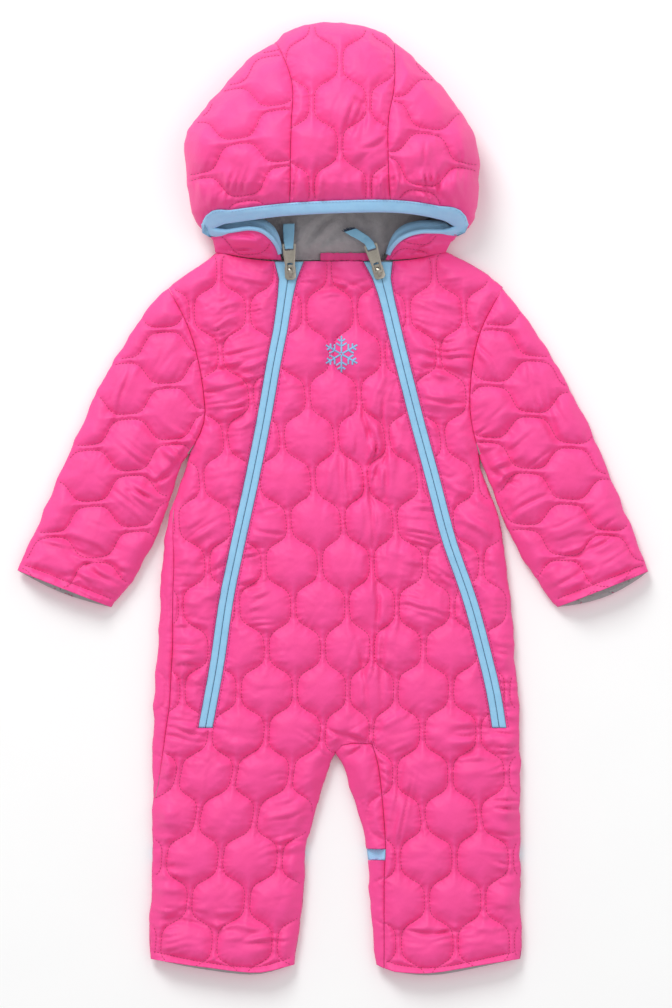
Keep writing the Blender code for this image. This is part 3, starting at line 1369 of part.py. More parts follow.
def build_pull(name, hinge, along, across, nickel):
    """A tapered tab with an eye that the bridge goes through and a slot for the ribbon."""
    half = PULL_THICKNESS / 2
    taper = lambda u: PULL_NARROW + (PULL_WIDE - PULL_NARROW) * (u - PULL_START) / (PULL_LENGTH - PULL_START)
    cuts = [PULL_START, PULL_EYE[0], PULL_EYE[1], PULL_SLOT[0], PULL_SLOT[1], PULL_LENGTH]
    corner = PULL_CORNER
    outline = [(PULL_START + corner, taper(PULL_START)), (PULL_EYE[0], taper(PULL_EYE[0]))]
    outline += [(u, taper(u)) for u in cuts[2:-1]] + [(PULL_LENGTH - corner, taper(PULL_LENGTH)),
                                                     (PULL_LENGTH, taper(PULL_LENGTH) - corner)]
    outline = [(PULL_START, taper(PULL_START) - corner)] + outline
    ring = outline + [(u, -v) for u, v in outline[::-1]]
    holes = []
    for start, end, wide in (PULL_EYE, PULL_SLOT):
        k = HOLE_CORNER
        holes.append([(start, -wide + k), (start, wide - k), (start + k, wide), (end - k, wide),
                      (end, wide - k), (end, -wide + k), (end - k, -wide), (start + k, -wide)])
    plan, edges = [], []
    for loop in [ring] + holes:
        first = len(plan)
        plan += loop
        edges += [(first + k, first + (k + 1) % len(loop)) for k in range(len(loop))]
    result = delaunay_2d_cdt([Vector(p) for p in plan], edges, [], 2, 1e-7)
    flat, triangles = [tuple(v) for v in result[0]], result[2]
    solid = [t for t in triangles if not any(in_hole(flat, t, hole) for hole in holes)]
    count = len(flat)
    points = [tuple(u * along + v * across + (0.0, 0.0, z)) for z in (half, -half) for u, v in flat]
    faces = [tuple(t) for t in solid] + [tuple(k + count for k in reversed(t)) for t in solid]
    used = {}
    for t in solid:
        for a, b in zip(t, t[1:] + t[:1]):
            used[a, b] = used.get((a, b), 0) + 1
    for a, b in used:
        if (b, a) not in used:
            faces += [(b, a, a + count), (b, a + count, b + count)]
    pull = make_object(f"zip_{name}_pull", points, faces, nickel, 30.0)
    pull.location = Vector(hinge) * MM
    return pull


def in_hole(flat, triangle, hole):
    centre = np.mean([flat[k] for k in triangle], axis=0)
    return bool(inside(np.array([centre]), np.array(hole))[0])


def build_ribbon(name, hinge, along, across, pull, blue):
    """A ribbon folded through the slot: a leaf over the pull's bar and a leaf under it."""
    rows = RIBBONS[name]
    clear = PULL_THICKNESS / 2 + SEAM_GAP
    up, down = [], []
    for row in rows[1:]:
        low = RIBBON_LEAF_GAP if row.along > PULL_LENGTH + RIBBON_CLOSE else clear
        up.append((row, low))
        down.append((row, -low))
    place = 0.5 * (PULL_SLOT[0] + PULL_SLOT[1])
    level, fold = (RibbonPoint(u, 0.0, rows[0].width) for u in (place + RIBBON_TURN, place))
    turn = [(level, clear), (fold, 0.0), (level, -clear)]
    centre_line = up[::-1] + turn + down
    spine = np.array([(row.along, z) for row, z in centre_line])
    step = np.gradient(spine, axis=0)
    step /= np.hypot(*step.T)[:, None]
    out = np.column_stack([-step[:, 1], step[:, 0]]) * -RIBBON_WALL
    sections = []
    for (row, _), (u, z), (du, dz) in zip(centre_line, spine, out):
        half = row.width / 2
        sections.append([tuple((u + a * du) * along + (row.across + v) * across + (0.0, 0.0, z + a * dz))
                         for a, v in ((0, -half), (0, half), (1, half), (1, -half))])
    ribbon = loft(f"zip_{name}_ribbon", sections, blue)
    ribbon.parent = pull


# ---------------------------------------------------------------- the whole suit
def main():
    for obj in list(bpy.data.objects):
        bpy.data.objects.remove(obj, do_unlink=True)
    pink = material("pink_polyamide", PINK, 0.55)
    blue = material("blue_woven_tape", BLUE, 0.7)
    grey = material("grey_fleece", GREY, 0.95)
    nickel = material("nickel_plated_zinc", NICKEL, 0.3, 1.0)
    runs = body_runs()
    build_front(runs, pink)
    build_back(runs, pink, blue)
    for name in ("left", "right"):
        build_tapes(name, runs, blue)
        build_sleeve(name, pink)
        build_cuff_lining(name, grey)
        build_hem_lining(name, runs, grey)
        hinge, along, across = build_slider(name, runs, nickel)
        pull = build_pull(name, hinge, along, across, nickel)
        build_ribbon(name, hinge, along, across, pull, blue)
    hood = hood_runs()
    heights = hood_heights(hood)
    build_hood(hood, heights, pink)
    build_binding(hood, heights, blue)
    build_hood_lining(hood, heights, grey)
    build_facing(pink)


main()
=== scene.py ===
# %% [markdown]
# # A baby's quilted, hooded snowsuit
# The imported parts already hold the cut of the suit: every panel is a closed wall of cloth with
# coarse puffs. This lesson dresses them. Each quilted panel is its packed wall cut into far
# smaller triangles, whose outer points are lifted again by the same height functions, now with
# stitch grooves, puckers and creases. Lengths in the tables are millimetres.

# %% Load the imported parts
from collections import namedtuple
from math import ceil, cos, hypot, pi, radians, sin, tanh

import bmesh
import bpy
import numpy as np
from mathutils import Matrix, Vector
from mathutils.bvhtree import BVHTree
from mathutils.geometry import delaunay_2d_cdt
from mathutils.kdtree import KDTree


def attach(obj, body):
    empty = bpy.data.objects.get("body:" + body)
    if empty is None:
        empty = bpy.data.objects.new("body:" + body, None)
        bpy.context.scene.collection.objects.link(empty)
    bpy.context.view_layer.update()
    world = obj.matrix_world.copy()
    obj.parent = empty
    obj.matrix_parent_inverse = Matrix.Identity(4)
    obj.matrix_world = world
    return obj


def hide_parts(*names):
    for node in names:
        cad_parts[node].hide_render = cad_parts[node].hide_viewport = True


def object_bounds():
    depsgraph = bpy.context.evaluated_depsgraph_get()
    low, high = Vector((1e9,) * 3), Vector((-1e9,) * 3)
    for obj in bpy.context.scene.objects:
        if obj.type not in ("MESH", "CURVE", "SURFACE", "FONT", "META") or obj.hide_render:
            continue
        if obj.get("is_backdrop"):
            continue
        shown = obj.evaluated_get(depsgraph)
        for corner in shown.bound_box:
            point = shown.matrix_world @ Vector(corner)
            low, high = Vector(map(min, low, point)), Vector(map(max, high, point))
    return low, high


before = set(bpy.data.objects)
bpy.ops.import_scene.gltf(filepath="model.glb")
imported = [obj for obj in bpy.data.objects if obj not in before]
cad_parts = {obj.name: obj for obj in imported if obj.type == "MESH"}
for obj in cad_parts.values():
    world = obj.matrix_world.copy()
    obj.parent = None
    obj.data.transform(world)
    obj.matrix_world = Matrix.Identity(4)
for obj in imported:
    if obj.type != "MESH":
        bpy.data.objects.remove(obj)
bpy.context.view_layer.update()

MM = 0.001

# %% [markdown]
# ## The camera, the light and the surface
# A garment laid out for a catalogue lies on white paper, and the camera looks straight down from
# far away, so that perspective bends nothing. A big soft lamp beyond the hood gives each puff a
# bright upper side and a shaded lower one, and a pale room fills the rest.

# %% Camera and light
FRAME_HEIGHT = 0.877      # how much of the surface the frame's long side takes in, m
CAMERA_HEIGHT = 5.0
CAMERA_PLACE = (0.0017, -0.0039)
SENSOR = 36.0               # mm
ROOM_LIGHT = 0.66


def add_object(name, data):
    made = bpy.data.objects.new(name, data)
    bpy.context.scene.collection.objects.link(made)
    return made


camera = add_object("camera", bpy.data.cameras.new("camera"))
camera.data.sensor_width = SENSOR
camera.data.lens = SENSOR * CAMERA_HEIGHT / FRAME_HEIGHT
camera.data.clip_end = 50.0
camera.location = (*CAMERA_PLACE, CAMERA_HEIGHT)
bpy.context.scene.camera = camera

SoftLamp = namedtuple("SoftLamp", "name place size power")
LAMPS = (
    SoftLamp("key", (-1.2, 2.7, 2.4), 1.6, 84.0),
    SoftLamp("fill", (1.6, 0.6, 2.2), 2.0, 8.0),
)
for lamp in LAMPS:
    light = bpy.data.lights.new(lamp.name, "AREA")
    light.size = lamp.size
    light.energy = lamp.power
    made = add_object(lamp.name, light)
    made.location = lamp.place
    made.rotation_euler = (-Vector(lamp.place)).to_track_quat("-Z", "Y").to_euler()
world = bpy.data.worlds.new("pale room")
world.use_nodes = True
world.node_tree.nodes["Background"].inputs["Color"].default_value = (1.0, 1.0, 1.0, 1.0)
world.node_tree.nodes["Background"].inputs["Strength"].default_value = ROOM_LIGHT
bpy.context.scene.world = world
bpy.context.scene.view_settings.view_transform = "Standard"
print("lens", round(camera.data.lens, 1), "mm,", len(LAMPS), "lamps")

# %% [markdown]
# ## Materials
# Colours are picked as sRGB hex codes, as on a dyer's shade card, and turned to the linear values
# that the shader works in. One helper adds a node with its settings and links. The others are
# ways in which a surface varies: in shade, in lumps and in ribs, each with its size in millimetres.

# %% Colour and node helpers
def linear(code):
    """A hex code as linear red, green, blue and alpha."""
    parts = [int(code[k:k + 2], 16) / 255 for k in (1, 3, 5)]
    return (*[c / 12.92 if c <= 0.04045 else ((c + 0.055) / 1.055) ** 2.4 for c in parts], 1.0)


def add_node(tree, kind, links=(), **settings):
    """Add a node: settings are its own options or, by their socket's name, its inputs."""
    made = tree.nodes.new(kind)
    for key, value in settings.items():
        if hasattr(made, key):
            setattr(made, key, value)
        else:
            made.inputs[key.replace("_", " ")].default_value = value
    for socket, source in dict(links).items():
        tree.links.new(source, made.inputs[socket])
    return made


def new_material(name, roughness, **sockets):
    """A material, its node tree, its shader and the object's own coordinates in metres."""
    made = bpy.data.materials.new(name)
    made.use_nodes = True
    tree = made.node_tree
    shader = tree.nodes["Principled BSDF"]
    shader.inputs["Roughness"].default_value = roughness
    for key, value in sockets.items():
        shader.inputs[key.replace("_", " ")].default_value = value
    place = add_node(tree, "ShaderNodeTexCoord").outputs["Object"]
    return made, tree, shader, place


def mottled(tree, place, light, dark, size, sharp=2.0):
    """A colour that wanders between two shades over patches of about the given size in mm."""
    cloud = add_node(tree, "ShaderNodeTexNoise", {"Vector": place}, Scale=1 / (size * MM), Detail=sharp)
    mix = add_node(tree, "ShaderNodeMix", data_type="RGBA")
    mix.inputs[6].default_value = linear(light)
    mix.inputs[7].default_value = linear(dark)
    tree.links.new(cloud.outputs["Fac"], mix.inputs[0])
    return mix.outputs[2]


def raised(tree, place, pattern, depth, under=None, **settings):
    """A pattern that stands up to depth mm out of the surface, over the relief under it."""
    links = {"Height": add_node(tree, pattern, {"Vector": place}, **settings).outputs["Fac"]}
    if under:
        links["Normal"] = under
    return add_node(tree, "ShaderNodeBump", links, Strength=1.0, Distance=depth * MM).outputs["Normal"]


def crumpled(tree, place, relief, under=None, detail=3.0):
    """Uneven lumps of one size."""
    return raised(tree, place, "ShaderNodeTexNoise", relief.depth, under, Scale=1 / (relief.size * MM),
                  Detail=detail)


def ribbed(tree, place, relief, axis, under=None, wobble=0.0):
    """Even ridges across an axis, as threads make."""
    return raised(tree, place, "ShaderNodeTexWave", relief.depth, under, bands_direction=axis,
                  Scale=pi / (10 * relief.size * MM), Distortion=wobble)


Relief = namedtuple("Relief", "size depth")         # of one lump, or from rib to rib, mm
print("pure pink is linear", [round(c, 3) for c in linear("#f8479a")])

# %% [markdown]
# ## Shell cloth
# The shell is a plain-woven polyamide taffeta, pressed between hot rollers so that it is down-proof.
# That flattens its threads: the eye sees a smooth, slightly silky face, hardly any weave, and many
# tiny crinkles where the cloth is gathered by stitching. Its real threads lie 0.15 mm apart, too
# fine to show, so they are drawn 0.8 mm apart and very shallow.

# %% Shell cloth
TAFFETA_THREADS = Relief(0.8, 0.012)        # drawn coarser than the real 0.15 mm
TAFFETA_CRINKLES = (Relief(3.2, 0.22), Relief(11.0, 0.55))
TAFFETA_CLOUDS = 18.0       # patches of slightly uneven dye


def polyamide_taffeta(name, light, dark):
    made, tree, shader, place = new_material(name, 0.6, IOR=1.5, Sheen_Weight=0.1, Sheen_Roughness=0.5)
    tree.links.new(mottled(tree, place, light, dark, TAFFETA_CLOUDS), shader.inputs["Base Color"])
    warp = ribbed(tree, place, TAFFETA_THREADS, "X")
    normal = ribbed(tree, place, TAFFETA_THREADS, "Y", warp)
    for crinkle in TAFFETA_CRINKLES:
        normal = crumpled(tree, place, crinkle, normal)
    tree.links.new(normal, shader.inputs["Normal"])
    return made


pink_taffeta = polyamide_taffeta("pink_polyamide_taffeta", "#f8479a", "#f0408d")
print("shell:", pink_taffeta.name)

# %% [markdown]
# ## Sewing thread
# Thread is spun polyester, two plies twisted together. It shines softly along the twist. Its colour is set a
# shade darker than the cloth: painted shade, for the small shadow the thread lies in.

# %% Sewing thread
TWIST = Relief(0.5, 0.05)
THREAD_CLOUDS = 1.5


def spun_polyester(name, light, dark):
    """Sewing thread: two plies twisted together, with a soft shine along the twist."""
    made, tree, shader, place = new_material(name, 0.5, IOR=1.5, Sheen_Weight=0.2)
    tree.links.new(mottled(tree, place, light, dark, THREAD_CLOUDS), shader.inputs["Base Color"])
    tree.links.new(crumpled(tree, place, TWIST), shader.inputs["Normal"])
    return made


# the pink and light blue threads are darker than the cloth and binding they are sewn into: painted shade for
# the small shadow each thread lies in
pink_thread = spun_polyester("pink_polyester_thread", "#cc3076", "#b42867")
blue_thread = spun_polyester("light_blue_polyester_thread", "#9fd0ef", "#7fb8e2")
navy_thread = spun_polyester("navy_polyester_thread", "#27456a", "#1c3352")
print("threads:", pink_thread.name, blue_thread.name, navy_thread.name)

# %% [markdown]
# ## Zip tape and binding
# Tape and binding are dense, dull weaves. The ribs across the tape are what the eye reads as
# woven; the binding is finer and plainer, since it is cut aslant to stretch round curves.

# %% Zip tape and binding
TAPE_RIBS = Relief(0.9, 0.09)               # really 0.5 mm apart, drawn coarser
BINDING_RIBS = Relief(0.7, 0.09)            # bias binding is smoother than tape
WARP_DEPTH = 0.06           # of the threads that run along
WARP_TO_WEFT = 1.5          # they lie this much further apart
TAPE_FLUFF = Relief(2.0, 0.08)
TAPE_CLOUDS = 6.0


def woven_tape(name, light, dark, ribs):
    """Zip tape is a dense narrow weave whose weft stands up as fine ribs across the tape."""
    made, tree, shader, place = new_material(name, 0.72, IOR=1.5, Sheen_Weight=0.15)
    tree.links.new(mottled(tree, place, light, dark, TAPE_CLOUDS), shader.inputs["Base Color"])
    weft = ribbed(tree, place, ribs, "Y", wobble=0.4)
    normal = ribbed(tree, place, Relief(WARP_TO_WEFT * ribs.size, WARP_DEPTH), "X", weft, wobble=0.2)
    tree.links.new(crumpled(tree, place, TAPE_FLUFF, normal), shader.inputs["Normal"])
    return made


blue_tape = woven_tape("light_blue_polyester_zip_tape", "#98cfee", "#86c1e5", TAPE_RIBS)
blue_binding = woven_tape("light_blue_bias_binding", "#a6d8fa", "#95ccf5", BINDING_RIBS)
print("tapes:", blue_tape.name, blue_binding.name)

# %% [markdown]
# ## Fleece
# Fleece is knitted and then brushed on one side. The loose fibre ends scatter the light, so it is
# dull all over, soft at its edges and cloudy in tone.

# %% Fleece
PILE = Relief(1.3, 0.5)
PILE_TUFTS = Relief(7.0, 1.0)
FLEECE_CLOUDS = 5.0


def brushed_fleece(name, light, dark):
    """Fleece is knitted, then brushed until a nap hides the loops: dull, soft-edged and mottled."""
    made, tree, shader, place = new_material(name, 0.95, IOR=1.5, Sheen_Weight=0.45, Sheen_Roughness=0.6)
    tree.links.new(mottled(tree, place, light, dark, FLEECE_CLOUDS, 4.0), shader.inputs["Base Color"])
    normal = crumpled(tree, place, PILE, detail=4.0)
    tree.links.new(crumpled(tree, place, PILE_TUFTS, normal), shader.inputs["Normal"])
    return made


grey_fleece = brushed_fleece("grey_polyester_fleece", "#b9b4b6", "#9c979b")
print("fleece:", grey_fleece.name)

# %% [markdown]
# ## Metal and coil
# The sliders are die-cast zinc under a satin nickel plating. The coil is a bent plastic wire, seen only
# through the slit between the tapes; its darker blue is painted shade for that narrow slit.

# %% Metal and coil
CASTING_GRAIN = Relief(0.6, 0.02)
WEAR_SPOTS = 1.5


def plated_zinc(name, light, dark):
    """Die-cast zinc with satin nickel plating: warm grey, in small patches of slightly uneven tone."""
    made, tree, shader, place = new_material(name, 0.3, Metallic=1.0)
    tree.links.new(mottled(tree, place, light, dark, WEAR_SPOTS), shader.inputs["Base Color"])
    tree.links.new(crumpled(tree, place, CASTING_GRAIN), shader.inputs["Normal"])
    return made


nickel = plated_zinc("satin_nickel_plated_zinc", "#b9b2a6", "#9c968c")
# the coil is a real part, but its darker blue is painted shade for the slit over it
coil_plastic = spun_polyester("dark_polyester_zip_coil", "#3d6f8d", "#2f5a78")
print("materials:", [m.name for m in bpy.data.materials])

# %% [markdown]
# ## The paper
# The suit lies on a sheet of matte white card, so bright that only the soft shadow shows where it
# begins. It is marked as stage, because it isn't part of the garment.

# %% White paper
PAPER_HALF = 6.0            # half its side, m
PAPER_GAP = 0.0003          # the paper lies this far under the suit, m
PAPER_CLOUDS = 60.0
floor_mesh = bpy.data.meshes.new("paper")
corners = [(x * PAPER_HALF, y * PAPER_HALF, 0) for x, y in ((-1, -1), (1, -1), (1, 1), (-1, 1))]
floor_mesh.from_pydata(corners, [], [(0, 1, 2, 3)])
paper = add_object("paper", floor_mesh)
paper.location.z = -PAPER_GAP
white_paper, tree, shader, place = new_material("white_paper", 0.9)
tree.links.new(mottled(tree, place, "#fbfbfb", "#f9f9f9", PAPER_CLOUDS), shader.inputs["Base Color"])
floor_mesh.materials.append(white_paper)
paper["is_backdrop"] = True
print("paper laid")

# %% [markdown]
# ## The cut
# The suit is cut from paper patterns: the tables below are those patterns' edges as they lie on
# the surface, a row for each place up the suit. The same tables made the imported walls, so what is
# worked out from them here fits those walls exactly.

# %% Pattern edges
Edge = namedtuple("Edge", "y left right")
ShapePoint = namedtuple("ShapePoint", "x y")
BODY_SIDES = (
    Edge(39.0, -125.5, 125.8),
    Edge(27.4, -128.0, 127.0),
    Edge(-14.0, -142.5, 141.8),
    Edge(-35.0, -146.2, 146.2),
    Edge(-87.0, -150.5, 153.0),
    Edge(-129.0, -152.3, 155.7),
    Edge(-171.0, -155.7, 159.2),
    Edge(-213.0, -156.6, 161.0),
    Edge(-300.0, -157.0, 161.2),
    Edge(-348.0, -158.3, 161.0),
    Edge(-380.0, -160.3, 162.0),
    Edge(-399.0, -158.6, 160.4),
)
LEG_INSIDES = (
    Edge(-225.5, -2.6, 4.6),
    Edge(-233.6, -6.1, 9.6),
    Edge(-244.0, -8.7, 12.2),
    Edge(-264.9, -14.8, 19.1),
    Edge(-285.8, -20.9, 25.2),
    Edge(-306.7, -25.6, 28.9),
    Edge(-348.0, -28.0, 32.2),
    Edge(-390.0, -33.1, 36.0),
    Edge(-404.0, -35.2, 37.6),
)
CROTCH = ShapePoint(0.9, -219.7)
LEFT_HEM = (
    ShapePoint(-158.6, -399.0),
    ShapePoint(-116.6, -407.6),
    ShapePoint(-68.7, -412.6),
    ShapePoint(-35.2, -404.0),
)
RIGHT_HEM = (
    ShapePoint(37.6, -404.0),
    ShapePoint(43.5, -407.0),
    ShapePoint(56.6, -411.0),
    ShapePoint(92.2, -412.6),
    ShapePoint(160.4, -399.0),
)
ARMHOLES = (
    Edge(183.5, -143.5, 146.0),
    Edge(150.0, -126.6, 128.6),
    Edge(119.6, -117.5, 120.4),
    Edge(87.4, -112.6, 117.8),
    Edge(65.7, -113.1, 119.4),
    Edge(39.0, -125.5, 125.8),
)
SHOULDERS = (
    Edge(214.5, -101.0, 95.7),
    Edge(204.9, -112.5, 115.5),
    Edge(194.4, -130.0, 133.0),
    Edge(183.5, -143.5, 146.0),
)
SLEEVE_OUTSIDES = (
    Edge(183.5, -143.5, 146.0),
    Edge(173.6, -154.6, 155.5),
    Edge(152.7, -170.0, 171.4),
    Edge(110.9, -195.8, 198.0),
    Edge(69.2, -216.6, 219.4),
    Edge(27.4, -235.0, 238.0),
    Edge(-14.4, -253.4, 255.0),
    Edge(-56.1, -271.6, 272.3),
    Edge(-62.0, -274.2, 274.2),
)
SLEEVE_INSIDES = (
    Edge(39.0, -125.5, 125.8),
    Edge(27.4, -132.4, 131.4),
    Edge(-14.4, -146.6, 146.6),
    Edge(-35.2, -155.0, 155.8),
    Edge(-56.1, -165.6, 168.0),
    Edge(-77.0, -179.2, 181.2),
    Edge(-93.5, -193.6, 194.0),
)
SeamInset = namedtuple("SeamInset", "y inset")
SIDE_SEAM = (
    SeamInset(39.0, 0.0),
    SeamInset(2.0, 0.0),
    SeamInset(-14.0, 3.5),
    SeamInset(-52.0, 9.0),
    SeamInset(-122.0, 12.0),
    SeamInset(-177.0, 13.5),
    SeamInset(-212.0, 9.0),
    SeamInset(-247.0, 4.5),
    SeamInset(-263.0, 0.0),
    SeamInset(-399.0, 0.0),
)
INSEAM = (
    ShapePoint(0.9, -219.7),
    ShapePoint(6.0, -213.8),
    ShapePoint(20.0, -211.6),
    ShapePoint(33.0, -212.4),
    ShapePoint(38.6, -232.0),
    ShapePoint(42.6, -268.0),
    ShapePoint(44.8, -301.5),
    ShapePoint(43.6, -330.0),
    ShapePoint(43.5, -407.0),
)
ZipPoint = namedtuple("ZipPoint", "y left right")
ZIPS = (
    ZipPoint(206.6, -39.0, 38.2),
    ZipPoint(194.4, -39.6, 40.6),
    ZipPoint(173.6, -42.6, 46.0),
    ZipPoint(142.2, -47.4, 53.5),
    ZipPoint(121.4, -51.8, 58.6),
    ZipPoint(69.2, -60.9, 71.8),
    ZipPoint(17.0, -71.3, 86.0),
    ZipPoint(-35.2, -82.7, 99.8),
    ZipPoint(-87.4, -93.5, 118.0),
    ZipPoint(-139.6, -101.0, 132.0),
    ZipPoint(-171.0, -106.6, 139.2),
    ZipPoint(-198.0, -111.6, 143.4),
)
NECK_Y = 206.6
print(len(BODY_SIDES) + len(LEG_INSIDES) + len(ZIPS), "rows of body edges")

# %% [markdown]
# ## The hood's pattern
# The hood has a middle strip and two sides. Its brim and cheeks bound one opening, and a few rows
# say how high the whole hood stands.

# %% Hood pattern edges
HOOD_SIDES = (
    Edge(215.0, -101.8, 96.6),
    Edge(225.8, -105.5, 103.0),
    Edge(236.2, -114.8, 117.5),
    Edge(246.6, -121.8, 122.7),
    Edge(257.1, -124.4, 124.0),
    Edge(278.0, -127.0, 125.3),
    Edge(298.8, -129.2, 125.4),
    Edge(319.7, -125.3, 119.2),
    Edge(340.6, -109.6, 105.4),
    Edge(361.5, -91.5, 88.7),
    Edge(382.4, -72.2, 68.7),
    Edge(396.0, -50.0, 52.0),
)
HOOD_CROWN = (
    ShapePoint(-50.0, 396.0),
    ShapePoint(-44.0, 403.0),
    ShapePoint(-29.0, 409.4),
    ShapePoint(5.0, 413.3),
    ShapePoint(34.0, 406.6),
    ShapePoint(46.0, 401.0),
    ShapePoint(52.0, 396.0),
)
HOOD_SEAMS = (
    Edge(396.0, -50.0, 52.0),
    Edge(368.4, -38.6, 52.6),
    Edge(348.4, -35.2, 51.0),
    Edge(325.0, -36.5, 46.6),
    Edge(288.4, -37.4, 46.6),
    Edge(262.0, -37.4, 47.6),
    Edge(249.0, -37.6, 48.0),
)
BRIM = (
    ShapePoint(-105.0, 235.0),
    ShapePoint(-98.5, 239.2),
    ShapePoint(-64.4, 243.8),
    ShapePoint(-37.6, 246.4),
    ShapePoint(5.2, 248.4),
    ShapePoint(48.0, 249.0),
    ShapePoint(76.0, 246.6),
    ShapePoint(98.0, 241.8),
    ShapePoint(105.5, 236.2),
)
LEFT_CHEEK = (
    ShapePoint(-105.0, 235.0),
    ShapePoint(-94.0, 232.2),
    ShapePoint(-73.0, 234.4),
    ShapePoint(-60.0, 231.0),
    ShapePoint(-49.5, 220.5),
    ShapePoint(-45.5, 207.7),
)
RIGHT_CHEEK = (
    ShapePoint(105.5, 236.2),
    ShapePoint(96.0, 232.4),
    ShapePoint(74.0, 231.6),
    ShapePoint(58.0, 226.0),
    ShapePoint(48.2, 216.0),
    ShapePoint(44.6, 207.7),
)
HoodRow = namedtuple("HoodRow", "y edge_height rise")
HOOD_EDGE_TOP = 22.0
HOOD_ROWS = (
    HoodRow(205.0, 6.5, 16.0),
    HoodRow(222.0, 11.0, 24.0),
    HoodRow(236.0, 16.0, 32.0),
    HoodRow(248.0, 19.0, 43.0),
    HoodRow(272.0, HOOD_EDGE_TOP, 51.0),
    HoodRow(310.0, HOOD_EDGE_TOP, 55.0),
    HoodRow(350.0, 21.0, 52.0),
    HoodRow(412.0, 17.0, 44.0),
)
print(len(HOOD_SIDES) + len(BRIM), "rows of hood edges")

# %% [markdown]
# ## Curves in plan
# A smooth curve through the rows of a table, walked at an even step, is what a tailor's curved
# ruler draws. A KD-tree over finely spaced places on the curves then answers two questions about
# any point of the cloth: how far is the nearest line, and where along it.

# %% Curves and the nearest place on them
EDGE_STEP = 10.0            # spacing of points along outlines
STITCH = 2.9                # one stitch and the gap after it
STITCH_SAMPLES = 5
SAMPLE_STEP = STITCH / STITCH_SAMPLES


def smooth(points, step):
    """A smooth curve through the points, as evenly spaced points of about one step."""
    p = np.array([(q[0], q[1]) for q in points], dtype=float)
    p = np.vstack([2 * p[0] - p[1], p, 2 * p[-1] - p[-2]])
    dense = []
    for a, b, c, d in zip(p[:-3], p[1:-2], p[2:-1], p[3:]):
        for t in np.linspace(0.0, 1.0, 12, endpoint=False):
            dense.append(0.5 * (2 * b + (c - a) * t + (2 * a - 5 * b + 4 * c - d) * t ** 2
                                + (3 * b - a - 3 * c + d) * t ** 3))
    dense.append(p[-2])
    return even(np.array(dense), step)


def even(dense, step):
    """The same line with evenly spaced points."""
    along = np.concatenate([[0.0], np.cumsum(np.hypot(*np.diff(dense, axis=0).T))])
    count = max(1, round(along[-1] / step))
    places = np.linspace(0.0, along[-1], count + 1)
    line = np.column_stack([np.interp(places, along, dense[:, k]) for k in (0, 1)])
    line[0], line[-1] = dense[0], dense[-1]
    return line


def side(rows, name):
    """One column of a table of edges, as points."""
    return [(getattr(row, name), row.y) for row in rows]


def normals(line):
    """Unit normals to the left of a line, one for each point."""
    step = np.gradient(line, axis=0)
    step /= np.maximum(np.hypot(*step.T), 1e-9)[:, None]
    return np.column_stack([-step[:, 1], step[:, 0]])


def shifted(line, amount):
    """A line moved sideways, to the left of its direction."""
    return line + normals(line) * np.reshape(amount, (-1, 1))


print("outlines are smoothed to steps of", EDGE_STEP, "mm")

# %% [markdown]
# ## The nearest place on a line
# Folds and puckers depend on how far a point is from the nearest seam and where along the seam it
# is. A tree of fine samples answers both at once.

# %% Looking up lines
class Lines:
    """Curves sampled finely, to look up each point's nearest place on them.

    Each curve starts on a whole stitch, so the place along it also tells the place in a stitch.
    """

    def __init__(self, lines):
        fine = [even(np.asarray(line, float), SAMPLE_STEP) for line in lines]
        self.places = np.vstack(fine)
        self.left = np.vstack([normals(line) for line in fine])
        room = [STITCH_SAMPLES * ceil(len(line) / STITCH_SAMPLES + 8) for line in fine]
        starts = np.concatenate([[0.0], np.cumsum(room)[:-1]])
        self.along = np.concatenate([s * SAMPLE_STEP + np.arange(len(f)) * SAMPLE_STEP
                                     for s, f in zip(starts, fine)])
        self.fine = fine
        self.tree = KDTree(len(self.places))
        for k, (x, y) in enumerate(self.places):
            self.tree.insert((x, y, 0.0), k)
        self.tree.balance()

    def near(self, points):
        """Distance, place along and index of the nearest sample for each point."""
        found = [self.tree.find((x, y, 0.0))[1] for x, y in points[:, :2]]
        index = np.array(found, int)
        gap = points[:, :2] - self.places[index]
        ahead = gap[:, 1] * -self.left[index, 0] + gap[:, 0] * self.left[index, 1]
        ahead = np.clip(ahead, -SAMPLE_STEP / 2, SAMPLE_STEP / 2)
        across = np.sqrt(np.maximum((gap ** 2).sum(1) - ahead ** 2, 0.0))
        return across, self.along[index] + ahead, index


AT_EDGE = 0.25              # points this near a folded edge are on it


def roll(d, start, width, low, high, roundness=2.0):
    """Height that turns from low at an edge to high one width in, like a quarter of a circle."""
    inward = np.where(d - start < AT_EDGE, 0.0, d - start)
    u = np.clip(inward / width, 0.0, 1.0)
    return low + (high - low) * (1 - (1 - u) ** roundness) ** (1 / roundness)


def ease(d, width):
    u = np.clip(d / width, 0.0, 1.0)
    return u * u * (3 - 2 * u)


print("a line is sampled each", SAMPLE_STEP, "mm, a stitch is", STITCH, "mm")

# %% [markdown]
# ## Uneven values
# Nothing in cloth is quite even. This smooth noise is worked out from whole numbers, so each run
# of the lesson gives the same folds.

# %% Noise
def noise(x, y, seed=0):
    """Smooth random values from -1 to 1, with a hill or hollow for each unit square."""
    xi, yi = np.floor(x).astype(np.int64), np.floor(y).astype(np.int64)
    u, v = x - xi, y - yi
    u, v = u * u * (3 - 2 * u), v * v * (3 - 2 * v)

    def corner(i, j):
        h = ((xi + i) * 374761393 + (yi + j) * 668265263 + seed * 1274126177) & 0xFFFFFFFF
        h = ((h ^ (h >> 13)) * 1103515245) & 0xFFFFFFFF
        return ((h ^ (h >> 16)) & 0xFFFF) / 32767.5 - 1.0

    low = corner(0, 0) * (1 - u) + corner(1, 0) * u
    high = corner(0, 1) * (1 - u) + corner(1, 1) * u
    return low * (1 - v) + high * v


print("noise at a corner and inside:", noise(np.array([0.0, 0.4]), np.array([0.0, 0.7]), 1).round(2))

# %% [markdown]
# ## Quilting
# The padding is held by wavy lines of machine stitching. Neighbouring lines swing opposite ways,
# so they part round each puff and run close together at its neck, where the stitches pucker the
# cloth into a small ladder.

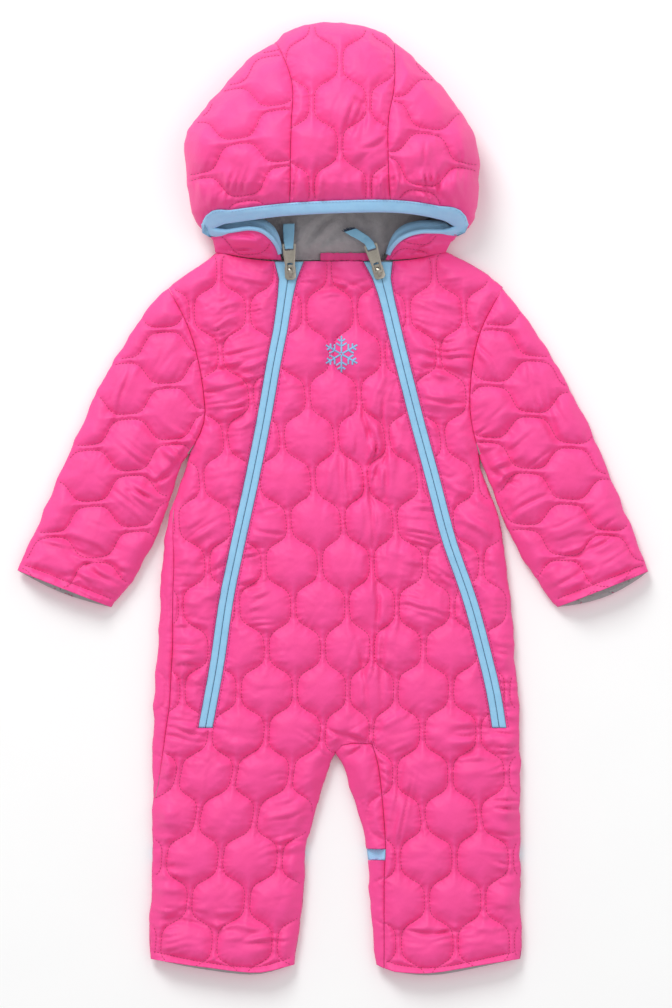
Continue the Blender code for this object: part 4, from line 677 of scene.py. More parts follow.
# %% Quilting lines
QUILT_HEIGHT = 7.0          # rise of a puff over its stitching
QUILT_REACH = 18.0          # distance from the stitching to a puff's crown
QUILT_COLUMN = 24.4         # distance from one wavy line of stitching to the next
QUILT_PERIOD = 73.0         # length of one wave, a puff and a neck
QUILT_SWING = 10.0          # how far a line swings to each side
QUILT_SQUARENESS = 2.0      # flattens the waves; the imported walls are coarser, and have 1.5
STEEP_SHARE, LEVEL_SHARE = 0.66, 0.34
WAVE_STEP = 1.5
PUFF_SHOULDER = 11.0        # distance from the stitching over which a puff is steep
# how far the quilting drifts sideways at three places across the body
Drift = namedtuple("Drift", "y left middle right")
BODY_DRIFT = (
    Drift(220.0, -17.0, -17.0, -27.0),
    Drift(130.0, -16.0, -16.0, -22.0),
    Drift(60.0, -12.0, -11.5, -19.0),
    Drift(20.0, -8.0, -9.0, -14.0),
    Drift(-50.0, -3.0, -3.0, -9.0),
    Drift(-130.0, 0.0, 0.0, -10.5),
    Drift(-200.0, 0.0, 0.0, -11.5),
    Drift(-235.0, -3.0, -3.0, -11.5),
    Drift(-270.0, -10.0, -7.0, -11.5),
    Drift(-300.0, -15.0, -11.0, -8.0),
    Drift(-415.0, -23.0, -17.0, -6.5),
)
DRIFT_LEFT_X = -80.0
DRIFT_RIGHT_X = 70.0


def puff(d):
    """Share of its full height that a puff has: steep beside the stitching, then nearly level."""
    steep = 1 - (1 - np.clip(d / PUFF_SHOULDER, 0.0, 1.0)) ** 2
    return STEEP_SHARE * steep + LEVEL_SHARE * ease(d, QUILT_REACH)


def wave(angle):
    return tanh(QUILT_SQUARENESS * sin(angle)) / tanh(QUILT_SQUARENESS)


def body_drift(x, y):
    rows = BODY_DRIFT[::-1]
    ys = [r.y for r in rows]
    shifts = [np.interp(y, ys, [getattr(r, name) for r in rows]) for name in ("left", "middle", "right")]
    return np.interp(x, (DRIFT_LEFT_X, 0.5 * (DRIFT_LEFT_X + DRIFT_RIGHT_X), DRIFT_RIGHT_X), shifts)


# a neck of each piece's quilting, the turn of its lines and their drift
Quilting = namedtuple("Quilting", "x y turn drift")
QUILTINGS = {
    "body": Quilting(-58.3, -129.2, 0.0, body_drift),
    "back": Quilting(-46.0, -93.0, 0.0, None),
    "sleeve_left": Quilting(-179.2, 71.8, radians(94.0), None),
    "sleeve_right": Quilting(172.0, 73.6, radians(86.0), None),
    "hood_side_left": Quilting(-82.6, 307.5, radians(97.0), None),
    "hood_side_right": Quilting(81.0, 316.0, radians(83.0), None),
    "hood_centre": Quilting(-19.0, 340.0, 0.0, None),
}


def quilt_lines(name, low, high):
    """The wavy lines of a piece's quilting over a box."""
    quilt = QUILTINGS[name]
    origin = np.array((quilt.x, quilt.y))
    across = np.array((cos(quilt.turn), sin(quilt.turn)))
    along = np.array((-sin(quilt.turn), cos(quilt.turn)))
    middle = 0.5 * (low + high) - origin
    reach = 0.5 * hypot(*(high - low)) + QUILT_SWING
    first = int((middle @ across - reach) // QUILT_COLUMN)
    last = ceil((middle @ across + reach) / QUILT_COLUMN)
    v = np.arange(middle @ along - reach, middle @ along + reach, WAVE_STEP)
    lines = []
    for k in range(first, last + 1):
        swing = QUILT_SWING * (1 if k % 2 else -1)
        phase = [wave(2 * pi * a / QUILT_PERIOD + pi / 2) for a in v]
        u = (k + 0.5) * QUILT_COLUMN + swing * np.array(phase)
        line = origin + u[:, None] * across + v[:, None] * along
        if quilt.drift:
            line[:, 0] += [quilt.drift(x, y) for x, y in line]
        lines.append(line)
    return lines


print("puffs rise", QUILT_HEIGHT, "mm between the quilting lines")

# %% [markdown]
# ## Where each panel ends
# The body's outline is walked once round. Folded edges turn under to the back; sewn edges are
# pulled down into the seam.

# %% Runs of the body
def cut_line(start, end):
    return even(np.array([start, end]), EDGE_STEP)


def body_runs():
    """The runs of the body's outline, counter-clockwise from the wearer's right armhole."""
    left_inside = [(row.left, row.y) for row in LEG_INSIDES][::-1]
    right_inside = [(row.right, row.y) for row in LEG_INSIDES]
    fold = smooth(INSEAM[:4], EDGE_STEP)
    return {
        "left_side": smooth(side(BODY_SIDES, "left"), EDGE_STEP),
        "left_hem": smooth(LEFT_HEM, EDGE_STEP),
        "crotch_left": smooth(left_inside + [CROTCH], EDGE_STEP),
        "crotch_right": smooth([CROTCH] + right_inside, EDGE_STEP),
        "inseam": np.vstack([fold, smooth(INSEAM[3:], EDGE_STEP)[1:]]),
        "right_hem": smooth(RIGHT_HEM[1:], EDGE_STEP),
        "right_side": smooth(side(BODY_SIDES, "right")[::-1], EDGE_STEP),
        "right_armhole": smooth(side(ARMHOLES, "right")[::-1], EDGE_STEP),
        "right_shoulder": smooth(side(SHOULDERS, "right")[::-1], EDGE_STEP),
        "left_shoulder": smooth(side(SHOULDERS, "left"), EDGE_STEP),
        "left_armhole": smooth(side(ARMHOLES, "left"), EDGE_STEP),
    }


FOLDED = ("left_side", "crotch_left", "crotch_right", "right_side", "right_shoulder", "left_shoulder")


def side_seam_insets(line):
    """How far in from the edge the side seam lies that shows on top."""
    rows = SIDE_SEAM[::-1]
    return np.interp(line[:, 1], [r.y for r in rows], [r.inset for r in rows])


print("the body's outline has", len(body_runs()), "runs")

# %% [markdown]
# ## The zips' places
# Each zip is sewn into a slit of the front. The tapes' tops are folded aside, so they flare out at
# the neck.

# %% Slits and seams of the front
TAPE_WIDTH = 12.2           # both halves of a zip tape that show
TAPE_FLARE = 13.0           # how much wider the folded top of the tape is
TAPE_FLARE_LENGTH = 11.0
TAPE_STEP = 15.0
SEAM_GAP = 0.3              # clear space between two sewn pieces
HEM_TURN = 7.0              # width of the turned and topstitched hem
SHOULDER_SEAM = ShapePoint(74.0, 209.1)     # its middle, on each side


def zip_centre(name):
    return smooth(side(ZIPS, name), TAPE_STEP)


def tape_half_width(y):
    return 0.5 * (TAPE_WIDTH + TAPE_FLARE * np.exp((y - NECK_Y) / TAPE_FLARE_LENGTH))


def slash(name):
    """The slit in the front round a zip: down its +X side and up its -X side."""
    centre = zip_centre(name)
    half = tape_half_width(centre[:, 1]) + SEAM_GAP
    right = centre + np.column_stack([half, 0 * half])
    left = centre - np.column_stack([half, 0 * half])
    foot = np.array((0.0, -SEAM_GAP))
    right[-1] += foot
    left[-1] += foot
    return np.vstack([right, left[::-1]])


runs = body_runs()
body_fold = Lines([runs[name] for name in FOLDED])
hem_lines = [runs["left_hem"], runs["right_hem"]]
insets = side_seam_insets(runs["left_side"])
body_seams = [runs["inseam"], runs["right_armhole"], runs["left_armhole"], slash("left"), slash("right"),
              shifted(runs["left_side"], insets)[insets > 0]]
for name, sign in (("left", -1), ("right", 1)):
    top = slash(name)[-1 if name == "left" else 0]
    middle = (sign * SHOULDER_SEAM.x, SHOULDER_SEAM.y)
    body_seams.append(smooth([tuple(top), middle, side(SHOULDERS, name)[0]], EDGE_STEP))
hem_stitching = [shifted(line, HEM_TURN) for line in hem_lines]
print(len(body_seams), "seams and", len(hem_stitching), "hems on the body")

# %% [markdown]
# ## How high the body lies
# The body's outer face without its puffs rises from its folded edges and is pressed down along
# the zips. The dressed cloth is measured up from it.

# %% Heights of the body
EDGE_HEIGHT = 6.0           # height of the outermost line of the folded side edges
EDGE_WALL = 2.0             # thickness of the wall there
TOP_ROLL = 11.0             # how far in the top is level
STITCH_LEVEL = 12.0         # outer face of the front along its stitching
BELLY_RISE = 3.0            # how much the middle of the body stands above its sides
BELLY_REACH = 90.0
HEM_LIFT = 3.0              # how far the front's hems stand off the lining
HEM_REACH = 22.0
LIFT_WIDTH = 30.0           # how far from a folded edge a hem or cuff is fully lifted
PUFF_FADE = 15.0            # how far from a folded edge the puffs reach their full height
body_hems = Lines(hem_lines)


def body_base(points):
    """Outer height along the stitching and the distance to the folded edges."""
    d = body_fold.near(points)[0]
    lift = HEM_LIFT * np.exp(-(body_hems.near(points)[0] / HEM_REACH) ** 2) * ease(d - EDGE_WALL, LIFT_WIDTH)
    rise = BELLY_RISE * ease(d - TOP_ROLL, BELLY_REACH)
    return roll(d, 0.0, TOP_ROLL, EDGE_HEIGHT, STITCH_LEVEL) + rise + lift, d


print("mid-front lies at", round(float(body_base(np.zeros((1, 2)))[0][0]), 1), "mm")

# %% [markdown]
# ## The sleeves and the hood
# A sleeve lies as flat as the body. The hood is filled out, so its outside is a dome that rises
# from its edge, lower at the neck, and its opening is bound with a strip of blue.

# %% Heights of the sleeves
SLEEVE_RISE = 2.5           # how much a sleeve's middle stands above its sides
SLEEVE_REACH = 50.0
CUFF_LIFT = {"left": 3.0, "right": 5.0}     # how far the open cuffs stand off the lining
CUFF_REACH = 22.0


def sleeve_lines(name):
    """A sleeve's two folded edges, its cuff and its armhole."""
    outside = smooth(side(SLEEVE_OUTSIDES, name), EDGE_STEP)
    inside = smooth(side(SLEEVE_INSIDES, name), EDGE_STEP)
    armhole = smooth(side(ARMHOLES, name), EDGE_STEP)
    return [outside, inside], cut_line(outside[-1], inside[-1]), armhole


def sleeve_base(name):
    folds, cuff, _ = sleeve_lines(name)
    fold_lines, cuff_line = Lines(folds), Lines([cuff])

    def base(points):
        d = fold_lines.near(points)[0]
        near = np.exp(-(cuff_line.near(points)[0] / CUFF_REACH) ** 2)
        lift = CUFF_LIFT[name] * near * ease(d - EDGE_WALL, LIFT_WIDTH)
        rise = SLEEVE_RISE * ease(d - TOP_ROLL, SLEEVE_REACH)
        return roll(d, 0.0, TOP_ROLL, EDGE_HEIGHT, STITCH_LEVEL) + rise + lift, d

    return base, fold_lines


print("cuff lines:", [len(sleeve_lines(n)[1]) for n in ("left", "right")], "points")

# %% [markdown]
# ## How high the hood stands, and its binding
# The hood is a low dome that falls to the neck. The binding's width is found here too, because
# the cloth under it must lie flat.

# %% Heights of the hood
HOOD_WALL = 3.0
HOOD_REACH = 105.0          # how far in the hood is at its full height
HOOD_ROUNDNESS = 2.2
CHEEK_FALL = 18.0           # how quickly the cheeks drop to the neck seam
NECK_SHARE = 0.3            # the hood's rise at the neck seam, as a share of its whole rise
NECK_MIDDLES = {"left": (-74.0, 209.7), "right": (72.0, 209.5)}
BRIM_REACH = 8.3            # width of the binding's outer leaf on the brim
CHEEK_REACH = 2.2           # and on the cheeks
CORNER_REACH = 13.5         # near the corners, where the strip carries on to the outline
CORNER_BLEND = 9.0          # along a cheek, from one width to the other
OUTLINE_LAP = 1.3           # how far the leaf stands out past the hood's folded edge
REACH_STEP = 0.3            # by which it is shortened until it stands out no further
left_neck = [side(HOOD_SIDES, "left")[0], NECK_MIDDLES["left"], LEFT_CHEEK[-1]]
right_neck = [RIGHT_CHEEK[-1], NECK_MIDDLES["right"], side(HOOD_SIDES, "right")[0]]
hood_edge = [smooth(side(HOOD_SIDES, "left")[::-1], EDGE_STEP), smooth(HOOD_CROWN[::-1], EDGE_STEP),
             smooth(side(HOOD_SIDES, "right"), EDGE_STEP)]
hood_necks = [smooth(left_neck, EDGE_STEP), smooth(right_neck, EDGE_STEP)]
hood_fold, hood_neck = Lines(hood_edge), Lines(hood_necks)
hood_seams = {name: smooth(side(HOOD_SEAMS, name), EDGE_STEP) for name in ("left", "right")}
opening = np.vstack([smooth(LEFT_CHEEK, EDGE_STEP)[::-1], smooth(BRIM, EDGE_STEP)[1:],
                     smooth(RIGHT_CHEEK, EDGE_STEP)[1:]])
mouth = Lines([opening])


def lengths(line):
    """How far along it each point of a line is."""
    return np.concatenate([[0.0], np.cumsum(np.hypot(*np.diff(line, axis=0).T))])


def beyond(points):
    """How far outside the hood's outline each point is; less than 0 inside it."""
    d, _, index = hood_fold.near(points)
    gap = points[:, :2] - hood_fold.places[index]
    return np.where((gap * hood_fold.left[index]).sum(1) > 0.0, -d, d)


def strip_reach(path, away):
    """How far the binding's outer leaf lies on the cloth, and how far each point is past the brim.

    At the two corners the strip carries on to the hood's outline, where the cloth folds under.
    """
    corners = [int(np.hypot(*(path - place).T).argmin()) for place in (BRIM[0], BRIM[-1])]
    along = lengths(path)
    past = np.maximum(along[corners[0]] - along, along - along[corners[1]])
    brim = BRIM_REACH + (CORNER_REACH - BRIM_REACH) * ease(past + 2 * CORNER_BLEND, 2 * CORNER_BLEND)
    reach = brim + (CHEEK_REACH - brim) * ease(past, CORNER_BLEND)
    while True:
        out = beyond(path + away * reach[:, None]) > OUTLINE_LAP
        if not out.any():
            return reach, past
        reach[out] -= REACH_STEP


def hood_base(points, depth=0.0):
    """Outer height of the hood, or the height that far inside it, and the distance to its edge."""
    ys = [row.y for row in HOOD_ROWS]
    edge = np.interp(points[:, 1], ys, [row.edge_height for row in HOOD_ROWS])
    rise = np.interp(points[:, 1], ys, [row.rise for row in HOOD_ROWS])
    rise = rise * (NECK_SHARE + (1 - NECK_SHARE) * ease(hood_neck.near(points)[0], CHEEK_FALL))
    d = hood_fold.near(points)[0]
    return roll(d, depth, HOOD_REACH - depth, edge, edge + rise - depth, HOOD_ROUNDNESS), d


mouth_widths = strip_reach(mouth.places, mouth.left)[0]
print("the bound strip is", mouth_widths.min().round(1), "to", mouth_widths.max().round(1), "mm wide")


def under_binding(points):
    """How far inside the bound strip each point is: 0 or more where the band covers the cloth."""
    d, _, index = mouth.near(points)
    return mouth_widths[index] - d


print("opening's edge", round(len(mouth.places) * SAMPLE_STEP), "mm long")

# %% [markdown]
# ## Cutting a packed wall finer
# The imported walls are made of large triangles. Halving every edge that is longer than wanted, and
# splitting each triangle to suit, gives a mesh fine enough for puckers without changing its form.
# Only the faces that will show detail are cut, and the finest ones lie along the stitching.

# %% Packed walls
FINEST = 0.7                # edges shorter than this stay whole, mm
LEVEL = 0.02                # heights this close are level, mm
SMALLEST_FLAT = 1500.0      # level areas from this size up are filled again, mm2
SAME_PLACE = 2e-6           # points this near are one, m


def packed(node):
    """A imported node's points in mm and its triangles, each point once."""
    bm = bmesh.new()
    bm.from_mesh(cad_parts[node].data)
    bmesh.ops.remove_doubles(bm, verts=bm.verts, dist=SAME_PLACE)
    bmesh.ops.triangulate(bm, faces=bm.faces)
    points = np.array([v.co for v in bm.verts]) / MM
    faces = np.array([[v.index for v in f.verts] for f in bm.faces])
    bm.free()
    return points, faces


def unit(rows):
    return rows / np.maximum(np.linalg.norm(rows, axis=1), 1e-12)[:, None]


def facings(points, faces):
    """A normal for each face, longer for a larger face."""
    a, b, c = (points[faces[:, k]] for k in range(3))
    return np.cross(b - a, c - a)


def point_normals(points, faces):
    """Unit normals at the points, from the faces round each."""
    total = np.zeros_like(points)
    for k in range(3):
        np.add.at(total, faces[:, k], facings(points, faces))
    return unit(total)


print("the packed front has", len(packed("front")[1]), "triangles")

# %% [markdown]
# ## Even triangles on flat areas
# The flat underside is packed as a few long slivers, which take no shading well. It is filled
# again with small even triangles inside the same outline.

# %% Even flats
def inside(points, starts, ends):
    """Which points of the plan lie inside closed outlines given as edges."""
    crossings = np.zeros(len(points), int)
    for (ax, ay), (bx, by) in zip(starts, ends):
        if ay != by:
            spans = (ay > points[:, 1]) != (by > points[:, 1])
            crossings += spans & (points[:, 0] < (bx - ax) * (points[:, 1] - ay) / (by - ay) + ax)
    return crossings % 2 == 1


def even_flats(points, faces, step):
    """Fill each level area again with even triangles: it is packed as long slivers."""
    corners = points[faces]
    a, b, c = corners[:, 0, :2], corners[:, 1, :2], corners[:, 2, :2]
    area = 0.5 * ((b - a)[:, 0] * (c - a)[:, 1] - (b - a)[:, 1] * (c - a)[:, 0])
    level = np.ptp(corners[:, :, 2], axis=1) < LEVEL
    height = np.where(level, np.round(corners[:, :, 2].mean(1) * np.sign(area), 1), np.nan)
    keep = np.ones(len(faces), bool)
    made = []
    for z in np.unique(np.abs(height[level])):
        for sign in (-1, 1):
            chosen = level & (np.abs(corners[:, :, 2].mean(1) - z) < 0.06) & (np.sign(area) == sign)
            if abs(area[chosen].sum()) < SMALLEST_FLAT:
                continue
            used = faces[chosen]
            pairs = used[:, [0, 1, 1, 2, 2, 0]].reshape(-1, 2)
            taken = set(map(tuple, pairs.tolist()))
            bound = np.array([p for p in taken if (p[1], p[0]) not in taken])
            number = np.unique(bound)
            plan = points[number, :2]
            starts, ends = points[bound[:, 0], :2], points[bound[:, 1], :2]
            low, high = plan.min(0), plan.max(0)
            rows = np.arange(low[1], high[1], step * 0.87)
            grid = np.array([(x + 0.5 * step * (j % 2), y) for j, y in enumerate(rows)
                             for x in np.arange(low[0], high[0], step)])
            grid = grid[inside(grid, starts, ends)]
            rim = Lines([np.array([p, q]) for p, q in zip(starts, ends)])
            grid = grid[rim.near(grid)[0] > 0.6 * step]
            edges = np.searchsorted(number, bound).tolist()
            every = np.vstack([plan, grid])
            result = delaunay_2d_cdt([Vector(p) for p in every], edges, [], 1, 1e-6)
            origin = np.array([o[0] if o else -1 for o in result[3]])
            tris = origin[np.array(result[2])]
            middle = every[tris].mean(1)
            tris = tris[(tris >= 0).all(1) & inside(middle, starts, ends)]
            index = np.concatenate([number, len(points) + np.arange(len(grid))])
            height_of_grid = np.full(len(grid), points[number, 2].mean())
            points = np.vstack([points, np.column_stack([grid, height_of_grid])])
            made.append(index[tris] if sign > 0 else index[tris][:, ::-1])
            keep &= ~chosen
    return points, np.vstack([faces[keep]] + made)


print("flats over", SMALLEST_FLAT, "mm2 are filled again")

# %% [markdown]
# ## Halving long edges
# An edge that is longer than wanted gets a point in its middle, and the triangles on both of its
# sides are split there, so that the wall stays closed.

# %% Refining
def refined(points, faces, marks, size):
    """Halve edges of the faces marked over 0 until none is longer than size(middle) allows."""
    while True:
        pairs = np.sort(faces[:, [0, 1, 1, 2, 2, 0]].reshape(-1, 2), axis=1)
        key = pairs[:, 0] * len(points) + pairs[:, 1]
        _, first, which = np.unique(key, return_index=True, return_inverse=True)
        edges, which = pairs[first], which.reshape(-1, 3)
        wanted = np.zeros(len(edges), bool)
        wanted[which[marks > 0].ravel()] = True
        middle = points[edges].mean(1)
        length = np.linalg.norm(points[edges[:, 0]] - points[edges[:, 1]], axis=1)
        wanted &= length > FINEST
        wanted[wanted] = length[wanted] > size(middle[wanted])
        if not wanted.any():
            return points, faces, marks
        number = np.full(len(edges), -1)
        number[wanted] = len(points) + np.arange(wanted.sum())
        points = np.vstack([points, middle[wanted]])
        new = number[which]
        count = (new >= 0).sum(1)
        made, kept = [faces[count == 0]], [marks[count == 0]]
        for turn in range(3):
            a, b, c = (faces[:, (turn + k) % 3] for k in range(3))
            ab, bc, ca = (new[:, (turn + k) % 3] for k in range(3))
            one = (count == 1) & (ab >= 0)
            two = (count == 2) & (ca < 0)
            for rows, corners in ((one, (a, ab, c)), (one, (ab, b, c)), (two, (ab, b, bc)),
                                  (two, (a, ab, bc)), (two, (a, bc, c))):
                made.append(np.column_stack([k[rows] for k in corners]))
                kept.append(marks[rows])
        a, b, c = faces.T
        ab, bc, ca = new.T
        rows = count == 3
        for corners in ((a, ab, ca), (ab, b, bc), (ca, bc, c), (ab, bc, ca)):
            made.append(np.column_stack([k[rows] for k in corners]))
            kept.append(marks[rows])
        faces, marks = np.vstack(made), np.concatenate(kept)


print("no edge under", FINEST, "mm is halved")

# %% [markdown]
# ## Making an object
# Every piece is made the same way: points in millimetres, triangles, a material, the body it
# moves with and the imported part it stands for.

# %% Objects
def mesh_object(name, points, faces, materials, slots=None, body="suit", replaces=None):
    """An object from points in mm that rides on a body and is shaded smooth."""
    mesh = bpy.data.meshes.new(name)
    mesh.from_pydata(np.asarray(points) * MM, [], np.asarray(faces).tolist())
    for m in materials:
        mesh.materials.append(m)
    if slots is not None:
        mesh.polygons.foreach_set("material_index", np.asarray(slots, np.int32))
    mesh.shade_smooth()
    made = add_object(name, mesh)
    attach(made, body)
    if replaces:
        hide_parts(replaces)
    print(name, len(faces), "triangles")
    return made


# %% [markdown]
# ## Puckers and creases
# Stitching is a little tighter than the cloth, which gathers into small folds that run away from
# the thread and fade out on the puff, and dips at each hole of the needle. Both are waves along the
# thread times a fall-off with the distance to it. Where the whole cloth is gathered, as between
# armhole and zip or above the hood's binding, it lies in longer folds: a table names those places,
# with the folds' direction, their pitch and depth. The main creases are laid one by one.

# %% Puckers, gathers and creases
PUCKER_DEPTH = 0.85         # of the small folds that run away from the stitching
PUCKER_PLACE = 2.6          # where they are deepest, from the stitching
PUCKER_REACH = 5.0
NEEDLE_DEPTH = 0.35         # of the dips at the needle holes
NEEDLE_REACH = 1.3
GROOVE_DEPTH = 0.55         # of the furrow along the stitching
GROOVE_REACH = 1.2
CRINKLE_DEPTH = 0.8
GATHER_STRENGTH = 2.1       # times each gather's depth in the table
CREASE_STRENGTH = 2.2       # times each crease's depth
BANKS = 0.35                # share of its depth by which the cloth rises beside a crease
DEEPEST = 0.3               # troughs stay in the wall
CHEEK_BULGE = 3.2           # the cheeks stand up a little where they fold
CHEEK_FOLD = ShapePoint(74.0, 221.0)        # where, on each side
CHEEK_SPREAD = ShapePoint(28.0, 8.0)
CHEEK_TROUGH = 0.45         # share of the bulge that a trough leaves
# folds over a place: its middle, the folds' direction, half length, half width, pitch and depth
Gather = namedtuple("Gather", "x y turn length width pitch depth")
print("crinkles are", CRINKLE_DEPTH, "mm deep")

# %% [markdown]
# ## Where the cloth is gathered
# Where a zip or seam is shorter than the cloth beside it, the cloth folds into many small ridges.
# Each row names such a place, how its folds run, and how deep they are.

# %% Gathers
GATHERS = {
    "body": (
        Gather(-92.0, 108.0, 12.0, 36.0, 38.0, 8.0, 1.7),
        Gather(-88.0, 160.0, 18.0, 28.0, 18.0, 6.5, 1.2),
        Gather(-108.0, -44.0, 32.0, 28.0, 60.0, 11.0, 1.4),
        Gather(90.0, 108.0, -10.0, 36.0, 40.0, 8.0, 1.6),
        Gather(92.0, 158.0, -14.0, 30.0, 18.0, 7.0, 1.1),
        Gather(114.0, -40.0, -25.0, 32.0, 60.0, 11.0, 1.4),
        Gather(36.0, 43.0, 82.0, 75.0, 18.0, 9.5, 1.7),
        Gather(40.0, -105.0, 82.0, 75.0, 18.0, 10.0, 1.4),
        Gather(8.0, 20.0, 86.0, 55.0, 14.0, 9.0, 0.9),
        Gather(0.0, 190.0, 0.0, 32.0, 15.0, 8.0, 1.3),
        Gather(-82.0, 192.0, -6.0, 28.0, 15.0, 8.0, 1.1),
        Gather(80.0, 192.0, 7.0, 28.0, 15.0, 8.0, 1.1),
        Gather(-72.0, -53.0, 6.0, 16.0, 85.0, 9.0, 1.1),
        Gather(78.0, -35.0, -12.0, 20.0, 85.0, 9.0, 1.1),
        Gather(-128.0, -120.0, 0.0, 22.0, 60.0, 9.0, 1.2),
        Gather(24.0, -210.0, 28.0, 40.0, 20.0, 10.0, 1.8),
        Gather(16.0, -216.0, -32.0, 40.0, 18.0, 10.0, 1.6),
        Gather(-121.0, -206.0, -5.0, 42.0, 24.0, 12.0, 1.5),
        Gather(118.0, -209.0, 6.0, 42.0, 24.0, 12.0, 1.5),
        Gather(-124.0, -366.0, -7.0, 48.0, 12.0, 10.0, 1.6),
        Gather(-62.0, -382.0, 4.0, 34.0, 10.0, 9.0, 1.2),
        Gather(98.0, -374.0, 4.0, 56.0, 12.0, 10.0, 1.3),
        Gather(-36.0, -296.0, 12.0, 20.0, 55.0, 10.0, 1.3),
        Gather(52.0, -280.0, 78.0, 40.0, 12.0, 8.0, 1.1),
        Gather(-146.0, -300.0, 0.0, 16.0, 90.0, 10.0, 1.3),
        Gather(152.0, -230.0, 0.0, 16.0, 140.0, 10.0, 1.4),
    ),
    "sleeve_left": (
        Gather(-147.0, 26.0, -38.0, 30.0, 38.0, 10.0, 2.2),
        Gather(-212.0, -50.0, -24.0, 46.0, 22.0, 10.0, 1.6),
        Gather(-228.0, -74.0, -24.0, 50.0, 10.0, 7.0, 1.0),
        Gather(-130.0, 140.0, 62.0, 42.0, 18.0, 11.0, 1.2),
        Gather(-180.0, 90.0, 66.0, 50.0, 16.0, 12.0, 0.9),
    ),
    "sleeve_right": (
        Gather(138.0, 32.0, 36.0, 32.0, 40.0, 10.0, 2.2),
        Gather(208.0, -46.0, 26.0, 46.0, 24.0, 10.0, 1.6),
        Gather(230.0, -74.0, 24.0, 50.0, 10.0, 7.0, 1.0),
        Gather(128.0, 138.0, 116.0, 44.0, 18.0, 11.0, 1.2),
        Gather(184.0, 80.0, 112.0, 50.0, 16.0, 12.0, 1.0),
    ),
    "hood": (
        Gather(0.0, 268.0, 90.0, 17.0, 130.0, 9.0, 1.3),
        Gather(84.0, 272.0, 98.0, 26.0, 34.0, 9.0, 1.6),
        Gather(-84.0, 270.0, 76.0, 22.0, 30.0, 10.0, 1.0),
        Gather(-76.0, 224.0, 4.0, 34.0, 12.0, 9.0, 2.2),
        Gather(77.0, 222.0, 16.0, 34.0, 12.0, 9.0, 2.2),
        Gather(20.0, 330.0, 70.0, 26.0, 24.0, 12.0, 1.0),
        Gather(34.0, 285.0, 40.0, 20.0, 22.0, 12.0, 1.2),
        Gather(60.0, 380.0, 80.0, 26.0, 20.0, 11.0, 1.0),
    ),
}
print("gathers:", {where: len(rows) for where, rows in GATHERS.items()})
